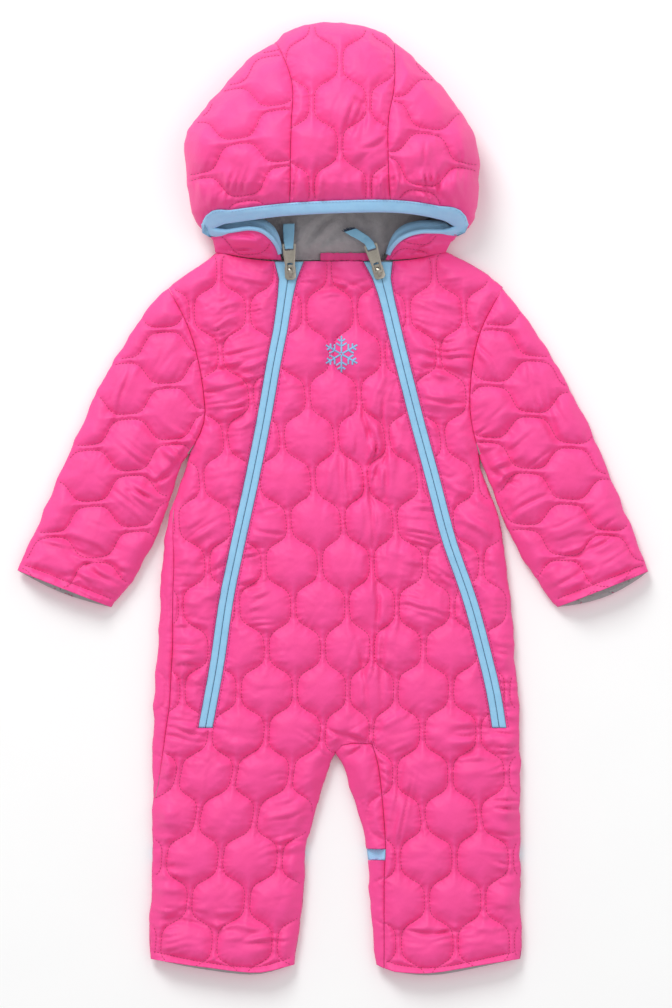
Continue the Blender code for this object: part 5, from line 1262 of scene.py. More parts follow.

# %% [markdown]
# ## Creases laid one by one
# The longest creases are drawn one by one, as a finisher would smooth the garment and leave a few.
# Each is a soft trough from one place to another that bows a little.

# %% Creases
# single soft troughs: from, to, how far the middle bows to the left, half width and depth
Crease = namedtuple("Crease", "x0 y0 x1 y1 bow width depth")
CREASES = {
    "body": (
        Crease(25.0, 84.0, 37.0, 42.0, -3.0, 2.2, 2.6),
        Crease(2.0, 46.0, 6.5, 2.0, 1.5, 2.4, 1.6),
        Crease(12.5, 40.0, 13.5, 2.0, -1.0, 2.0, 1.5),
        Crease(31.0, 6.0, 33.5, -42.0, 1.5, 2.2, 2.0),
        Crease(44.5, 36.0, 43.5, 0.0, 1.0, 2.4, 1.9),
        Crease(37.0, 28.0, 42.0, 2.0, -1.0, 1.8, 1.6),
        Crease(33.0, -54.0, 38.0, -104.0, 2.0, 2.4, 1.8),
        Crease(44.0, -112.0, 42.0, -178.0, -2.0, 2.6, 2.0),
        Crease(20.0, -120.0, 28.0, -182.0, 2.0, 2.2, 1.5),
        Crease(-15.0, 182.0, 28.0, 190.0, -2.5, 2.2, 1.6),
        Crease(-8.0, 193.0, 32.0, 178.0, 2.0, 2.0, 1.5),
        Crease(-124.0, 92.0, -66.0, 104.0, -2.0, 2.0, 1.7),
        Crease(-120.0, 74.0, -64.0, 82.0, 2.5, 2.2, 1.8),
        Crease(-112.0, 124.0, -62.0, 132.0, -1.5, 1.9, 1.5),
        Crease(72.0, 116.0, 118.0, 104.0, 2.0, 2.0, 1.6),
        Crease(76.0, 88.0, 120.0, 84.0, -2.0, 2.2, 1.7),
        Crease(-64.0, -12.0, -42.0, -8.0, 1.5, 2.0, 1.3),
        Crease(-68.0, -27.0, -40.0, -29.0, -1.5, 2.0, 1.4),
        Crease(-2.0, -202.0, 44.0, -222.0, 3.0, 2.6, 2.6),
        Crease(6.0, -224.0, 40.0, -196.0, -2.0, 2.4, 2.2),
        Crease(-150.0, -364.0, -104.0, -372.0, 2.0, 2.4, 1.9),
        Crease(60.0, -376.0, 120.0, -372.0, -2.0, 2.4, 1.6),
    ),
    "sleeve_left": (
        Crease(-128.0, 46.0, -150.0, 18.0, 3.0, 2.6, 2.8),
        Crease(-134.0, 30.0, -162.0, 12.0, 2.0, 2.4, 2.3),
        Crease(-148.0, -6.0, -178.0, 8.0, -2.0, 2.4, 1.9),
        Crease(-190.0, -58.0, -236.0, -38.0, 2.0, 2.4, 1.8),
        Crease(-184.0, -76.0, -222.0, -60.0, -1.5, 2.2, 1.6),
    ),
    "sleeve_right": (
        Crease(124.0, 48.0, 142.0, 20.0, -3.0, 2.6, 2.8),
        Crease(130.0, 30.0, 160.0, 14.0, -2.0, 2.4, 2.3),
        Crease(152.0, -14.0, 186.0, 4.0, 2.0, 2.4, 1.9),
        Crease(192.0, -52.0, 238.0, -34.0, -2.0, 2.4, 1.8),
        Crease(188.0, -78.0, 226.0, -60.0, 1.5, 2.2, 1.6),
    ),
    "hood": (
        Crease(18.0, 344.0, 27.0, 332.0, 1.5, 2.2, 1.9),
        Crease(24.0, 300.0, 44.0, 310.0, -2.0, 2.4, 1.8),
        Crease(-100.0, 217.0, -50.0, 212.0, 2.5, 2.2, 2.4),
        Crease(-82.0, 231.0, -58.0, 219.0, 1.5, 2.2, 2.2),
        Crease(-70.0, 232.0, -54.0, 222.0, -1.0, 1.8, 1.8),
        Crease(-98.0, 228.0, -72.0, 226.0, 1.5, 2.2, 1.8),
        Crease(56.0, 211.0, 84.0, 232.0, -3.0, 2.4, 2.6),
        Crease(52.0, 209.0, 98.0, 216.0, -2.5, 2.2, 2.2),
        Crease(66.0, 214.0, 92.0, 226.0, 2.5, 2.0, 1.6),
        Crease(88.0, 250.0, 96.0, 288.0, 2.0, 2.4, 1.7),
    ),
}
print("creases:", {where: len(rows) for where, rows in CREASES.items()})

# %% [markdown]
# ## The shapes of folds
# A gather is noise stretched along its folds, with soft tops and narrow valleys. Crinkles are the
# same in three sizes, and lie everywhere that no thread holds the cloth.

# %% Fold shapes
def valleys(x, y, seed):
    """Soft hills between narrow valleys, about -1 to 1."""
    return 2.6 * np.sqrt(noise(x, y, seed) ** 2 + 0.012) - 1.0


def gathered(points, gathers, seed):
    """Long folds over the places where the cloth is gathered."""
    total = np.zeros(len(points))
    for k, g in enumerate(gathers):
        dx, dy = points[:, 0] - g.x, points[:, 1] - g.y
        c, s = cos(radians(g.turn)), sin(radians(g.turn))
        u, v = dx * c + dy * s, dy * c - dx * s
        weight = np.exp(-(u / g.length) ** 2 - (v / g.width) ** 2)
        bent = v + 3.5 * noise(u / 21.0, v / 33.0, seed + 31 + k)
        total += g.depth * weight * valleys(u / (3.4 * g.pitch), bent / (0.62 * g.pitch), seed + 60 + k)
    return total


def creased(points, creases):
    """Depth of the troughs laid one by one."""
    total = np.zeros(len(points))
    for c in creases:
        a, b = np.array((c.x0, c.y0)), np.array((c.x1, c.y1))
        length = hypot(*(b - a))
        along = (b - a) / length
        left = np.array((-along[1], along[0]))
        gap = points[:, :2] - a
        t = np.clip(gap @ along / length, 0.0, 1.0)
        away = np.hypot(gap @ left - c.bow * 4 * t * (1 - t), gap @ along - t * length)
        taper = np.sin(pi * (0.08 + 0.84 * t)) ** 0.7
        trough, banks = np.exp(-(away / c.width) ** 2), np.exp(-(away / 3 / c.width) ** 2)
        total += c.depth * taper * (trough - BANKS * banks)
    return total


def crinkles(points, seed):
    """Small folds of several sizes where the cloth is loose."""
    x, y = points[:, 0], points[:, 1]
    wx = x + 9.0 * noise(x / 31.0, y / 31.0, seed + 1)
    wy = y + 9.0 * noise(x / 31.0, y / 31.0, seed + 2)
    total = np.zeros(len(points))
    for size, share in ((17.0, 0.5), (9.0, 0.3), (5.0, 0.2)):
        total += share * valleys(wx / size, wy / size, seed + int(size))
    calm = np.clip(0.75 + 0.9 * noise(x / 45.0, y / 45.0, seed + 5), 0.15, 1.3)
    return total * calm


print("valleys of flat noise:", valleys(np.zeros(1), np.zeros(1), 1).round(2))

# %% [markdown]
# ## The dressed face
# All of it adds up to one height: the plain face, the puff, the puckers beside each seam, the dip
# at each needle hole, then gathers and creases. Troughs never go below the wall's own face.

# %% Dressed height
def dressed(p, points, quilt, seams):
    """Height of the outer face with its puffs, puckers, gathers and creases."""
    base, fade = p.base(points)
    dq, sq, _ = quilt.near(points)
    ds, ss, _ = seams.near(points)
    plain = p.plain(points) if p.plain else np.zeros(len(points), bool)
    dq = np.where(plain, 99.0, dq)
    d = np.minimum(dq, ds)
    s = np.where(dq < ds, sq, ss + 7000 * STITCH)
    x, y = points[:, 0], points[:, 1]
    full = 1.0 + 0.12 * noise(x / 37.0, y / 37.0, p.seed)
    inward = ease(fade, PUFF_FADE)
    half = 0.3 + 0.7 * inward
    z = base + QUILT_HEIGHT * full * puff(d) * inward
    fall = np.exp(-((d - PUCKER_PLACE) / PUCKER_REACH) ** 2)
    gather = 0.6 * valleys(s / 3.6, d / 14.0, p.seed + 11) + 0.4 * noise(s / 6.1, d / 17.0, p.seed + 12)
    z += PUCKER_DEPTH * gather * fall * half
    z -= GROOVE_DEPTH * np.exp(-(d / GROOVE_REACH) ** 2)
    z -= NEEDLE_DEPTH * np.exp(-(d / NEEDLE_REACH) ** 2) * np.cos(2 * pi * s / STITCH)
    loose = ease(d, 7.0) * half
    z += CRINKLE_DEPTH * crinkles(points, p.seed) * loose
    z += GATHER_STRENGTH * gathered(points, p.gathers, p.seed) * (0.3 + 0.7 * ease(d, 5.0)) * half
    z -= CREASE_STRENGTH * creased(points, p.creases) * half * ease(d, 3.0)
    bulge = np.zeros(len(points))
    if p.node.startswith("hood"):
        across, up = (abs(x) - CHEEK_FOLD.x) / CHEEK_SPREAD.x, (y - CHEEK_FOLD.y) / CHEEK_SPREAD.y
        bulge = CHEEK_BULGE * np.exp(-across ** 2 - up ** 2)
    z = np.maximum(z + bulge, base - DEEPEST + CHEEK_TROUGH * bulge)
    return np.where(p.covered(points), base, z) if p.covered else z


print(sum(len(g) for g in GATHERS.values()), "gathers and", sum(len(c) for c in CREASES.values()), "creases")

# %% [markdown]
# ## The quilted panels
# Each panel is padded cloth of two layers with wadding between. Its outer face is found as the
# points that lie on or above the height function; faces that look into the garment are the fleece
# lining, and the flat underside gets the shallow grooves that stitching leaves in pressed wadding.

# %% Panels
FINE = 2.0                  # longest edge beside stitching, mm
PUFF = 2.95                 # and on the puffs
FINE_REACH = 1.5            # how far from the stitching it is cut finest
PUFF_REACH = 7.5            # and how much further off it is cut coarsest
UNDERSIDE = 4.2             # and on the flat underside
SLACK = 0.7                 # points this little under the plain face belong to it
UNDER_GROOVE = 1.1          # depth of the pressed grooves under the suit
UNDER_GROOVE_REACH = 2.4
OUTER_EDGE = 2.6            # this close to a folded edge all the cloth is shell,
BODY_CEILING = 8.2          # inner face of the padded front
BELOW_CEILING = 1.9         # and so is cloth that looks down from further under an inner face
SWELL = 0.75                # how far folded edges bulge at the puffs
SWELL_REACH = 9.0
RIM, OUTSIDE, UNDER, INSIDE = range(4)
Panel = namedtuple("Panel", "node quilt base seams seed gathers creases plain covered", defaults=(None, None))


def swell(points, fold):
    """The folded edges bulge at each puff and are drawn in where stitching crosses them."""
    d, along, index = fold.near(points)
    beats = noise(along / 13.0, 0.0 * along, 77) + 0.6 * noise(along / 6.0, 0.0 * along, 78)
    return -fold.left[index] * (SWELL * (1.0 + beats) * np.clip(1 - d / SWELL_REACH, 0.0, 1.0) ** 2)[:, None]


print("the underside is cut to", UNDERSIDE, "mm")

# %% [markdown]
# ## Building a panel
# A panel's faces are sorted into its outside, its underside, its lining and its rims. The outside
# is cut fine and lifted, the underside gets grooves, and the folded edges swell at each puff.

# %% Panel builder
def build_panel(p, fold):
    points, faces = even_flats(*packed(p.node), UNDERSIDE)
    outer = points[:, 2] > p.base(points)[0] - SLACK
    normal = unit(facings(points, faces))
    middle = points[faces].mean(1)
    marks = np.where(outer[faces].all(1) & (normal[:, 2] > -0.3), OUTSIDE, RIM)
    marks[(marks == RIM) & (middle[:, 2] < 0.6) & (normal[:, 2] < -0.5)] = UNDER
    ceiling = hood_base(middle, HOOD_WALL)[0] if p.base is hood_base else BODY_CEILING
    looks_in = (normal[:, 2] < -0.3) & (middle[:, 2] > ceiling - BELOW_CEILING) | (normal[:, 2] > 0.3)
    looks_in &= fold.near(middle)[0] > OUTER_EDGE
    marks[(marks == RIM) & looks_in] = INSIDE
    quilt = Lines(quilt_lines(p.quilt, points.min(0)[:2], points.max(0)[:2]))
    seams = Lines(p.seams)

    def top_size(middles):
        d = np.minimum(quilt.near(middles)[0], seams.near(middles)[0])
        return np.clip(FINE + (PUFF - FINE) * (d - FINE_REACH) / PUFF_REACH, FINE, PUFF)

    points, faces, marks = refined(points, faces, np.where(marks == OUTSIDE, OUTSIDE, -marks), top_size)
    marks = abs(marks)
    on_top, at_rest = np.zeros((2, len(points)), bool)
    on_top[faces[marks == OUTSIDE].ravel()] = True
    at_rest[faces[marks == UNDER].ravel()] = True
    at_rest &= points[:, 2] < 0.05
    print(p.node, "faces outside", (marks == OUTSIDE).sum(), "under", (marks == UNDER).sum())
    points[on_top, 2] = dressed(p, points[on_top], quilt, seams)
    points[at_rest, 2] = UNDER_GROOVE * np.exp(-(quilt.near(points[at_rest])[0] / UNDER_GROOVE_REACH) ** 2)
    shift = swell(points, fold)
    if p.covered:
        shift[p.covered(points)] = 0.0
    points[:, :2] += shift
    made = mesh_object(p.node + "_quilted", points, faces, [pink_taffeta, grey_fleece],
                       marks == INSIDE, replaces=p.node)
    return made, quilt


def at_body_hem(points):
    return body_hems.near(points)[0] < HEM_TURN


print("panels are cut to", FINE, "mm beside stitching and", PUFF, "mm on puffs")

# %% [markdown]
# ## Body panels
# The front is one piece on both sides of the zips. The back and the two foot flaps hang on the
# same seams, so they share its lines.

# %% Front, back and flaps
seam_set = body_seams + hem_stitching
panels = {}
panels["front"] = build_panel(Panel("front", "body", body_base, seam_set, 3, GATHERS["body"],
                                    CREASES["body"], at_body_hem), body_fold)
for node in ("back", "foot_flap_left", "foot_flap_right"):
    panels[node] = build_panel(Panel(node, "back", body_base, seam_set, 5, (), (), at_body_hem), body_fold)

# %% [markdown]
# ## Sleeves and hood
# Sleeves and hood use the same builder with their own heights, seams and gathers. Under the
# binding the hood's cloth is held flat.

# %% Sleeves and hood
cuffs = {}
for name, turn in (("left", HEM_TURN), ("right", -HEM_TURN)):
    base, fold = sleeve_base(name)
    _, cuff, armhole = sleeve_lines(name)
    cuffs[name] = shifted(cuff, turn)
    node = "sleeve_" + name
    at_cuff = lambda points, line=Lines([cuff]): line.near(points)[0] < HEM_TURN
    panels[node] = build_panel(Panel(node, node, base, [armhole, cuffs[name]], 7 + len(name), GATHERS[node],
                                     CREASES[node], at_cuff), fold)
HOOD_PARTS = {"hood_side_left": ("left",), "hood_side_right": ("right",), "hood_centre": ("left", "right")}
bound_edge = mouth.places + mouth.left * mouth_widths[:, None]
for node, sides in HOOD_PARTS.items():
    lines = [hood_seams[s] for s in sides] + hood_necks + [bound_edge]
    panels[node] = build_panel(Panel(node, node, hood_base, lines, len(node), GATHERS["hood"],
                                     CREASES["hood"], None, lambda q: under_binding(q) > 0), hood_fold)

# %% [markdown]
# ## Stitches
# A lockstitch shows as a row of short threads, each pulled down at its two ends. Every stitch is a
# small six-sided bead laid on the finished cloth, found by looking straight down at it.

# %% Stitches
THREAD = 0.34               # half thickness
STITCH_SHARE = 0.56         # how much of a stitch's length shows as thread
SINK = 0.08                 # how deep it lies in the cloth
STEEPEST = 4.0              # a stitch climbs no further than this
SIDES = 6                   # of a thread's cross-section


def cloth_tree(obj):
    """A tree of an object's faces, to look down onto."""
    mesh = obj.data
    places = np.empty(len(mesh.vertices) * 3)
    mesh.vertices.foreach_get("co", places)
    corners = np.empty(len(mesh.loops), int)
    mesh.loops.foreach_get("vertex_index", corners)
    return BVHTree.FromPolygons(places.reshape(-1, 3).tolist(), corners.reshape(-1, 3).tolist())


def drop(trees, x, y, z=200.0):
    """The highest place and its normal under a point, or None."""
    down = Vector((0, 0, -1))
    hits = [t.ray_cast(Vector((x, y, z)) * MM, down) for t in trees]
    hits = [h for h in hits if h[0] is not None and h[1].z > 0.1]
    return max(hits, key=lambda h: h[0].z) if hits else None


print("threads are", 2 * THREAD, "mm thick")

# %% [markdown]
# ## A hand that sews
# One object gathers all the stitches of a panel. A stitch is a bead between two needle holes,
# with its ends sunk a little into the cloth.

# %% Threads
class Threads:
    """Beads of thread gathered into one mesh; places in metres."""

    def __init__(self, *cloths):
        self.trees = [cloth_tree(c) for c in cloths]
        self.points, self.faces = [], []

    def bead(self, start, end, radius, up):
        axis = (end - start).normalized()
        across = axis.cross(up).normalized()
        top = across.cross(axis)
        first = len(self.points)
        self.points.append(start - axis * radius * 0.7)
        for t in (0.14, 0.86):
            for k in range(SIDES):
                a = 2 * pi * k / SIDES
                self.points.append(start.lerp(end, t) + radius * (cos(a) * across + sin(a) * top))
        self.points.append(end + axis * radius * 0.7)
        for k in range(SIDES):
            a, b = first + 1 + k, first + 1 + (k + 1) % SIDES
            c, d = a + SIDES, b + SIDES
            self.faces += [(first, b, a), (a, b, d), (a, d, c), (c, d, first + 1 + 2 * SIDES)]

    def stitch(self, a, b, radius=THREAD, sink=SINK):
        """A thread between two places of the plan, in mm, laid on the cloth."""
        start, end = drop(self.trees, *a), drop(self.trees, *b)
        if not start or not end or abs(start[0].z - end[0].z) > STEEPEST * MM:
            return
        up = (start[1] + end[1]).normalized()
        lift = up * (radius - sink) * MM
        self.bead(start[0] + lift, end[0] + lift, radius * MM, up)

    def row(self, fine, where=None, radius=THREAD):
        """Stitches along a finely sampled line, from needle hole to needle hole."""
        gap = 0.5 * (1 - STITCH_SHARE) * STITCH_SAMPLES
        order = np.arange(len(fine))
        for k in range(0, len(fine) - STITCH_SAMPLES, STITCH_SAMPLES):
            ends = [[np.interp(k + g, order, fine[:, i]) for i in (0, 1)]
                    for g in (gap, STITCH_SAMPLES - gap)]
            if where is None or where(np.array(ends)).all():
                self.stitch(*ends, radius)

    def make(self, name, material, body="suit"):
        return mesh_object(name, np.array(self.points) / MM, self.faces, [material], body=body)


print("a stitch shows", round(STITCH_SHARE * STITCH, 2), "mm of thread")

# %% [markdown]
# ## Sewing the panels
# The quilting is sewn first, then the rows beside the zips and round cuffs and hems. Stitches
# stop short of the rolled edge and of the binding.

# %% Sewing
def beyond_edge(base, off=2.0):
    """A test that keeps stitches off the rolled edge."""
    return lambda points: base(points)[1] > off


bases = {"front": body_base, "sleeve_left": sleeve_base("left")[0], "sleeve_right": sleeve_base("right")[0]}
zip_rows = [shifted(slash(name)[piece], 1.5) for name in ("left", "right")
            for piece in (slice(0, len(zip_centre(name))), slice(len(zip_centre(name)), None))]
for node in ("front", "sleeve_left", "sleeve_right", "hood_side_left", "hood_side_right", "hood_centre"):
    obj, quilt = panels[node]
    hand = Threads(obj)
    base = bases.get(node, hood_base)
    inner_edge = beyond_edge(base)
    lines = list(quilt.fine)
    where = inner_edge
    if node.startswith("hood"):
        where = lambda points: inner_edge(points) & (under_binding(points) < -1.0)
    for line in lines:
        hand.row(line, where)
    if node == "front":
        for line in hem_stitching + zip_rows:
            hand.row(even(line, SAMPLE_STEP), inner_edge)
    if node.startswith("sleeve"):
        hand.row(even(cuffs[node[7:]], SAMPLE_STEP), inner_edge)
    hand.make(node + "_stitching", pink_thread)

# %% [markdown]
# ## The zips
# Each zip is two halves of woven tape with a coil of plastic sewn under their meeting edges, so
# only a fine dark slit shows. The slider is die-cast and nickel-plated with a bridge on its back,
# and a pull hangs on the bridge and carries a folded ribbon.

# %% Zip tapes and coils
TAPE_CUT = 2.4              # longest edge of the cut tapes
COIL_PITCH = 1.5            # from one turn of the plastic wire to the next
COIL_HALF = 1.3             # half its width
COIL_WIRE = 0.42            # half the wire's thickness
COIL_DEPTH = 0.75           # under the tapes' faces
TAPE_ROLL = 0.3             # how far the tapes' edges roll down
for name in ("left", "right"):
    slit = Lines([zip_centre(name)])
    tapes = []
    for part in ("inner", "outer"):
        node = f"zip_{name}_tape_{part}"
        points, faces = packed(node)
        top = (unit(facings(points, faces))[:, 2] > 0.5).astype(int)
        points, faces, top = refined(points, faces, top, lambda m: np.full(len(m), TAPE_CUT))
        up = np.zeros(len(points), bool)
        up[faces[top > 0].ravel()] = True
        d, along, _ = slit.near(points[up])
        wavy = 0.3 * noise(along / 23.0, d / 30.0, 21) + 0.12 * noise(along / 5.0, d / 9.0, 22)
        side_roll = np.exp(-(d / 0.5) ** 2) + np.exp(-((tape_half_width(points[up, 1]) - d) / 0.7) ** 2)
        points[up, 2] += wavy - TAPE_ROLL * side_roll
        made = mesh_object(node + "_woven", points, faces, [blue_tape], replaces=node)
        tapes.append(made)
    coil = Threads(*tapes)
    fine = slit.fine[0]
    for k in range(4, int(len(fine) * SAMPLE_STEP / COIL_PITCH) - 2):
        x, y = (np.interp(k * COIL_PITCH / SAMPLE_STEP, np.arange(len(fine)), fine[:, i]) for i in (0, 1))
        hits = [drop(coil.trees, x + s * 1.2, y) for s in (-1, 1)]
        if all(hits):
            middle = (hits[0][0] + hits[1][0]) / 2 - Vector((0, 0, COIL_DEPTH * MM))
            reach = Vector((COIL_HALF * MM, 0.3 * MM, 0))
            coil.bead(middle - reach, middle + reach, COIL_WIRE * MM, Vector((0, 0, 1)))
    coil.make(f"zip_{name}_coil", coil_plastic)

# %% [markdown]
# ## Sliders and pulls
# A cast part has no sharp edge: the mould and the plating round them all. A narrow bevel gives
# each edge the thin line of light that says metal.

# %% Sliders and pulls
BEVEL = 0.28                # how far edges are rounded
SHARP = radians(28.0)       # only edges sharper than this


def cast(node, name, body):
    """A copy of a cast part with its edges rounded as they come out of the mould and the plating."""
    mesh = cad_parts[node].data.copy()
    bm = bmesh.new()
    bm.from_mesh(mesh)
    bmesh.ops.remove_doubles(bm, verts=bm.verts, dist=SAME_PLACE)
    bmesh.ops.dissolve_limit(bm, angle_limit=radians(1.0), verts=bm.verts, edges=bm.edges)
    bm.to_mesh(mesh)
    bm.free()
    mesh.materials.clear()
    mesh.materials.append(nickel)
    mesh.shade_smooth()
    made = add_object(name, mesh)
    round_off = made.modifiers.new("rounded edges", "BEVEL")
    round_off.width = BEVEL * MM
    round_off.segments = 3
    round_off.limit_method = "ANGLE"
    round_off.angle_limit = SHARP
    round_off.harden_normals = True
    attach(made, body)
    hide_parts(node)
    return made


for name in ("left", "right"):
    cast(f"zip_{name}_slider", f"zip_{name}_slider_cast", "suit")
    cast(f"zip_{name}_pull", f"zip_{name}_pull_cast", "pull_" + name)
print("sliders and pulls cast")

# %% [markdown]
# ## Ribbons
# Each pull carries a short folded ribbon, for small or gloved hands. It is woven tape, so it is
# dull and slightly rumpled.

# %% Ribbons
RIBBON_CUT = 1.6            # longest edge of the cut ribbons
for name, area in (("left", 0.00038), ("right", 0.00034)):
    node = f"zip_{name}_ribbon"
    points, faces = packed(node)
    points, faces, _ = refined(points, faces, np.ones(len(faces), int), lambda m: np.full(len(m), RIBBON_CUT))
    normal = point_normals(points, faces)
    x, y = points[:, 0], points[:, 1]
    points += normal * (0.10 * noise(x / 3.0, y / 3.0, 41) + 0.05 * noise(x / 1.3, y / 1.3, 42))[:, None]
    made = mesh_object(node + "_woven", points, faces, [blue_tape], body="pull_" + name,
                       replaces=node)
    print(node, "is", round(float(np.ptp(points[:, 1])), 1), "mm long along the suit")

# %% [markdown]
# ## The frayed end
# The right ribbon's end isn't sealed. Its dark core threads spread out there as a small tuft.

# %% Frayed end
FRAY = 26                   # threads at the right ribbon's open end
FRAY_LENGTH = 3.4
FRAY_WIRE = 0.26            # half a thread's thickness
FRAY_DEPTH = 6.0            # how much of the ribbon's end is looked at for its rim
FRAY_REACH = np.array((-0.72, 0.69))        # which way the end points
RIBBON_SEED = 5
chance = np.random.default_rng(RIBBON_SEED)
ends, _ = packed("zip_right_ribbon")
ahead = ends[:, :2] @ FRAY_REACH
rim = ends[ahead > ahead.max() - FRAY_DEPTH]
side_to_side = np.array((-FRAY_REACH[1], FRAY_REACH[0]))
across = rim[:, :2] @ side_to_side
low, high = rim[across.argmin()], rim[across.argmax()]
fray = Threads()
for k in range(FRAY):
    root = low + (high - low) * (k + 0.5) / FRAY
    root[2] = rim[:, 2].mean() + 0.5 * chance.uniform(-1, 1)
    way = np.array((*FRAY_REACH, 0.0)) + np.array((*side_to_side, 0.0)) * chance.uniform(-0.45, 0.45)
    way[2] = chance.uniform(-0.35, 0.25)
    tip = root + way * FRAY_LENGTH * chance.uniform(0.5, 1.0)
    fray.bead(Vector(root - way * 0.8) * MM, Vector(tip) * MM, FRAY_WIRE * MM, Vector((0, 0, 1)))
fray.make("zip_right_ribbon_fray", navy_thread, "pull_right")

# %% [markdown]
# ## The binding
# The hood's opening is bound with a folded strip: an outer leaf on the cloth, a fold round its cut
# edge and an inner leaf, sewn through with one row of stitches. Its cross-section is drawn once and
# carried along the opening, narrow at the corners where brim and cheek meet.

# %% Hood binding
BINDING_STEP = 2.5          # from one section to the next
BINDING_FROM_NECK = 4.5     # how far from the neck seam the strip starts
OUTLINE_DROP = 4.0          # how far the strip goes down past the hood's folded edge
INNER_LEAF = 7.5            # what shows of the inner leaf on the cheeks
INNER_DROP = 3.2            # how far down it slants
INNER_ENDS = 26.0           # from the neck, over which it narrows
INNER_HOLD = 3.0            # how far it lies on the inner face
# a place on the strip: how far from the edge as a share of its width, how far out past the edge,
# its height over the cloth's outer face, or below its inner face, and its share of the inner leaf
Leaf = namedtuple("Leaf", "share out height outer inner", defaults=(0.0,))
SECTION = (
    Leaf(1.0, 0.0, 0.5, True), Leaf(1.0, 0.0, 1.45, True), Leaf(0.93, 0.0, 1.85, True),
    Leaf(0.7, 0.0, 2.15, True), Leaf(0.4, 0.0, 2.2, True), Leaf(0.12, 0.0, 2.0, True),
    Leaf(0.0, 1.2, 1.3, True), Leaf(0.0, 1.85, 0.2, True), Leaf(0.0, 1.9, -0.3, False),
    Leaf(0.0, 1.9, 0.1, False, 0.5), Leaf(0.0, 1.9, 0.2, False, 1.0), Leaf(0.0, 1.7, 0.8, False, 1.0),
    Leaf(0.0, 1.6, 0.9, False, 0.5), Leaf(0.0, 1.2, 1.3, False), Leaf(0.0, 0.0, 1.85, False),
    Leaf(0.5, 0.0, 2.1, False), Leaf(1.0, 0.0, 1.85, False), Leaf(1.0, 0.0, 0.5, False),
    Leaf(0.0, 0.5, 0.5, False), Leaf(0.0, 0.5, 0.5, True),
)
print("its section has", len(SECTION), "points")

# %% [markdown]
# ## Carrying the section round
# The opening's edge is smoothed, and the strip's section is carried along it. Where it meets the
# hood's outline it hangs down past the folded edge.

# %% Binding functions
def eased_path(line, step):
    """A smooth line through the same places."""
    along = lengths(line)
    slope = np.gradient(line, along, axis=0)
    at = np.linspace(0.0, along[-1], int(along[-1] / step))
    k = np.clip(np.searchsorted(along, at, side="right") - 1, 0, len(line) - 2)
    span = (along[k + 1] - along[k])[:, None]
    t = (at[:, None] - along[k, None]) / span
    return (line[k] * (1 + 2 * t) * (1 - t) ** 2 + slope[k] * span * t * (1 - t) ** 2
            + line[k + 1] * t ** 2 * (3 - 2 * t) - slope[k + 1] * span * t ** 2 * (1 - t))


def ribbon_loft(name, sections, material, replaces=None):
    """A closed strip through sections of equal length; its ends are closed with triangles."""
    count = len(sections[0])
    points = np.vstack(sections)
    faces = []
    for k in range(len(sections) - 1):
        for j in range(count):
            a, b = k * count + j, k * count + (j + 1) % count
            faces += [(a, b, b + count), (a, b + count, a + count)]
    last = (len(sections) - 1) * count
    for j in range(count // 2 - 1):
        for a, b, c in ((j, j + 1, count - 2 - j), (j, count - 2 - j, count - 1 - j)):
            faces += [(a, c, b), (last + a, last + b, last + c)]
    return mesh_object(name, points, faces, [material], replaces=replaces)


print("smoothed edge of the opening:", len(eased_path(opening, BINDING_STEP)), "points")

# %% [markdown]
# ## Sewing the binding on
# On the brim the outer leaf is wide; on the cheeks it is narrow, and the inner leaf shows because
# the cheeks stand up. One row of stitches holds both leaves.

# %% The bound edge
path = eased_path(opening, BINDING_STEP)
off_neck = np.minimum(np.hypot(*(path - path[0]).T), np.hypot(*(path - path[-1]).T))
away = normals(path)
away = np.array([away[max(0, k - 2):k + 3].mean(0) for k in range(len(away))])
away /= np.hypot(*away.T)[:, None]
reach, past = strip_reach(path, away)
reach = np.convolve(np.pad(reach, 2, "edge"), np.ones(5) / 5, "valid")
edge_hang = OUTLINE_DROP * (beyond(path + away * reach[:, None]) > 0.0)
inner_leaf = 0.3 + INNER_LEAF * ease(past - 2.0, 10.0) * ease(off_neck - BINDING_FROM_NECK, INNER_ENDS)
keep = off_neck > BINDING_FROM_NECK
order = np.arange(len(path)) * BINDING_STEP
columns = []
for number, leaf in enumerate(SECTION):
    side = 1 if leaf.outer else -1
    width = leaf.share * (reach if leaf.outer else np.minimum(reach, INNER_HOLD))
    plan = path + away * (width - leaf.out - leaf.inner * inner_leaf)[:, None]
    height = hood_base(path + away * width[:, None], 0.0 if leaf.outer else HOOD_WALL)[0]
    height = height + leaf.height * side - leaf.inner * INNER_DROP * inner_leaf / INNER_LEAF
    if 0.0 < leaf.share < 1.0:
        height += 0.25 * side * noise(order / 9.0, 4 * leaf.share + 0 * order, 51)
    if number == 0:
        height -= edge_hang
    columns.append(np.column_stack([plan, height])[keep])
sections = [np.array([column[k] for column in columns]) for k in range(keep.sum())]
binding = ribbon_loft("hood_binding_sewn", sections, blue_binding, "hood_binding")
hand = Threads(binding)
stitch_line = even(path + away * (0.86 * reach)[:, None], SAMPLE_STEP)
hand.row(stitch_line, lambda points: (under_binding(points) > 1.0) & (beyond(points) < -4.0)
         & (mouth_widths[mouth.near(points)[2]] > 4.0))
hand.make("hood_binding_stitching", blue_thread)
print("bound edge", round(lengths(path)[-1]), "mm")

# %% [markdown]
# ## Linings, facing and flap bindings
# The fleece inside shows in the hood's mouth and as a sliver at cuffs and hems. It is soft and
# heavy, and falls into wide folds with a short nap.

# %% Linings and other small pieces of cloth
LINING_CUT = 3.4            # longest edges of the cut hood lining
STRIP_CUT = 1.8             # and of the strips at cuffs and hems
NAP = 0.22                  # how uneven the pile is
PILE_LIFT = 0.45            # how far it stands over the shell's turned edge
# what shows of the lining at each cuff and hem: its length and area, in metres
STRIPS = {"cuff_lining_left": (0.050, 0.00088), "cuff_lining_right": (0.048, 0.00086),
          "hem_lining_left": (0.086, 0.00154), "hem_lining_right": (0.080, 0.00143)}


